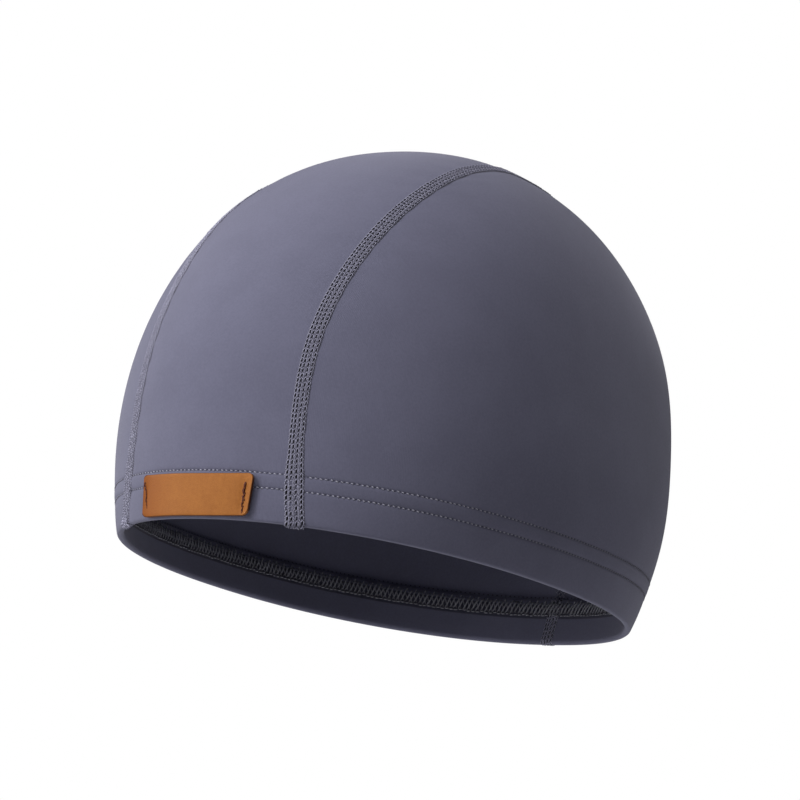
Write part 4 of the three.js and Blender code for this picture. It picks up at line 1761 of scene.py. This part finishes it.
@dataclass(frozen=True)
class Studio:
    """Pale floor, soft lights and the camera."""

    azimuth: float = 38.0
    elevation: float = 0.795
    distance: float = 1612.5 * MM
    lens: float = 230.4
    sensor: float = 36.0
    aim_right: float = 8.48 * MM
    aim_up: float = 58.15 * MM
    floor_drop: float = 0.60
    floor_radius: float = 1.7
    ambient: float = 0.01
    centre: tuple[float, float, float] = (0.0, 0.0, 0.06)
    clip: tuple[float, float] = (0.05, 30)

    def axes(self) -> tuple[Vector, Vector, Vector]:
        """Right, up and back directions of the camera's place."""
        a, e = math.radians(self.azimuth), math.radians(self.elevation)
        back = Vector((math.sin(a) * math.cos(e), -math.cos(a) * math.cos(e), math.sin(e)))
        right = Vector((math.cos(a), math.sin(a), 0))
        return right, back.cross(right), back

    def camera(self) -> None:
        """Camera at the photograph's angle."""
        right, up, back = self.axes()
        data = bpy.data.cameras.new("camera")
        data.lens, data.sensor_width = self.lens, self.sensor
        data.clip_start, data.clip_end = self.clip
        camera = placed("camera", data)
        camera.location = back * self.distance
        self.turn_to(camera, right * self.aim_right + up * self.aim_up)
        bpy.context.scene.camera = camera

    def turn_to(self, piece: bpy.types.Object, aim: Vector) -> None:
        """Turns a camera or a light to a point."""
        piece.rotation_mode = "QUATERNION"
        piece.rotation_quaternion = (aim - piece.location).to_track_quat("-Z", "Y")

    def lights(self) -> None:
        """Soft area lights round the camera's view."""
        a = math.radians(self.azimuth)
        right, back = Vector((math.cos(a), math.sin(a), 0)), Vector((math.sin(a), -math.cos(a), 0))
        centre = Vector(self.centre)
        for light in LIGHTS:
            data = bpy.data.lights.new(light.name, "AREA")
            data.shape, data.size = "DISK", light.size
            data.energy = light.power
            made = placed(light.name, data)
            made.location = centre + right * light.right + Vector((0, 0, light.up)) + back * light.near
            self.turn_to(made, centre)

    def world(self) -> None:
        """White surroundings for the camera and a dim even light for everything else."""
        world = bpy.data.worlds.new("studio")
        shader = Shader(world)
        seen = shader.node("ShaderNodeLightPath").outputs["Is Camera Ray"]
        shades = [
            shader.node("ShaderNodeBackground", None, {"Color": (1, 1, 1, 1), "Strength": strength})
            for strength in (self.ambient, 1.0)
        ]
        shader.end(shader.shade_mix(seen, shades), "ShaderNodeOutputWorld")
        bpy.context.scene.world = world

    def floor(self) -> None:
        """Wide round floor under the cap."""
        bpy.ops.object.select_all(action="DESELECT")
        bpy.ops.mesh.primitive_circle_add(
            vertices=96, radius=self.floor_radius, fill_type="NGON", location=(0, 0, -self.floor_drop)
        )
        floor = bpy.context.object
        floor.name = "floor"
        floor.data.materials.append(FloorFinish().material())

    def build(self) -> None:
        """Builds the studio."""
        bpy.context.scene.view_settings.view_transform = "Standard"
        self.camera()
        self.lights()
        self.world()
        self.floor()


def main() -> None:
    """Builds the cap piece by piece, then the studio."""
    logging.basicConfig(level=logging.INFO, format="%(message)s")
    form, hem = CapForm(), HemSizes()
    line = HemLine(form, hem)
    knit = KnitFinish(hem).material()
    thread = ThreadFinish("seam_thread").material()
    needle = ThreadFinish("needle_thread", light=(0.500, 0.49, 0.58), dark=(0.330, 0.325, 0.400)).material()
    looper = ThreadFinish("looper_thread", light=(0.360, 0.36, 0.41), dark=(0.200, 0.200, 0.235)).material()
    # The tack thread's third colour is its painted shade where it dives into the leather.
    tack = ThreadFinish(
        "tack_thread", (0.150, 0.034, 0.016), (0.050, 0.012, 0.006), (0.014, 0.004, 0.002), sheen=0.0
    ).material()

    panels = CapPanels(form, hem, line)
    panels.side_panel(Side.LEFT, knit)
    panels.side_panel(Side.RIGHT, knit)
    panels.centre_panel(knit)

    seam_left = FlatSeam(form, hem, Side.LEFT, seed=11)
    packed = PackedThreadFinish(seam_left.pitch).material()
    seam_left.build(packed, thread)
    FlatSeam(form, hem, Side.RIGHT, seed=12).build(packed, thread, seam_left)

    stitching = HemStitching(form, hem, line, seed=21)
    stitching.needle_rows(needle)
    stitching.looper_band(looper)

    label = LeatherLabel(form)
    corner = (label.left_corner + label.right_corner) / 2
    label.patch(LeatherFinish(label.length, label.height, corner).material())
    label.tacks(tack)

    Studio().build()


if __name__ == "__main__":
    main()
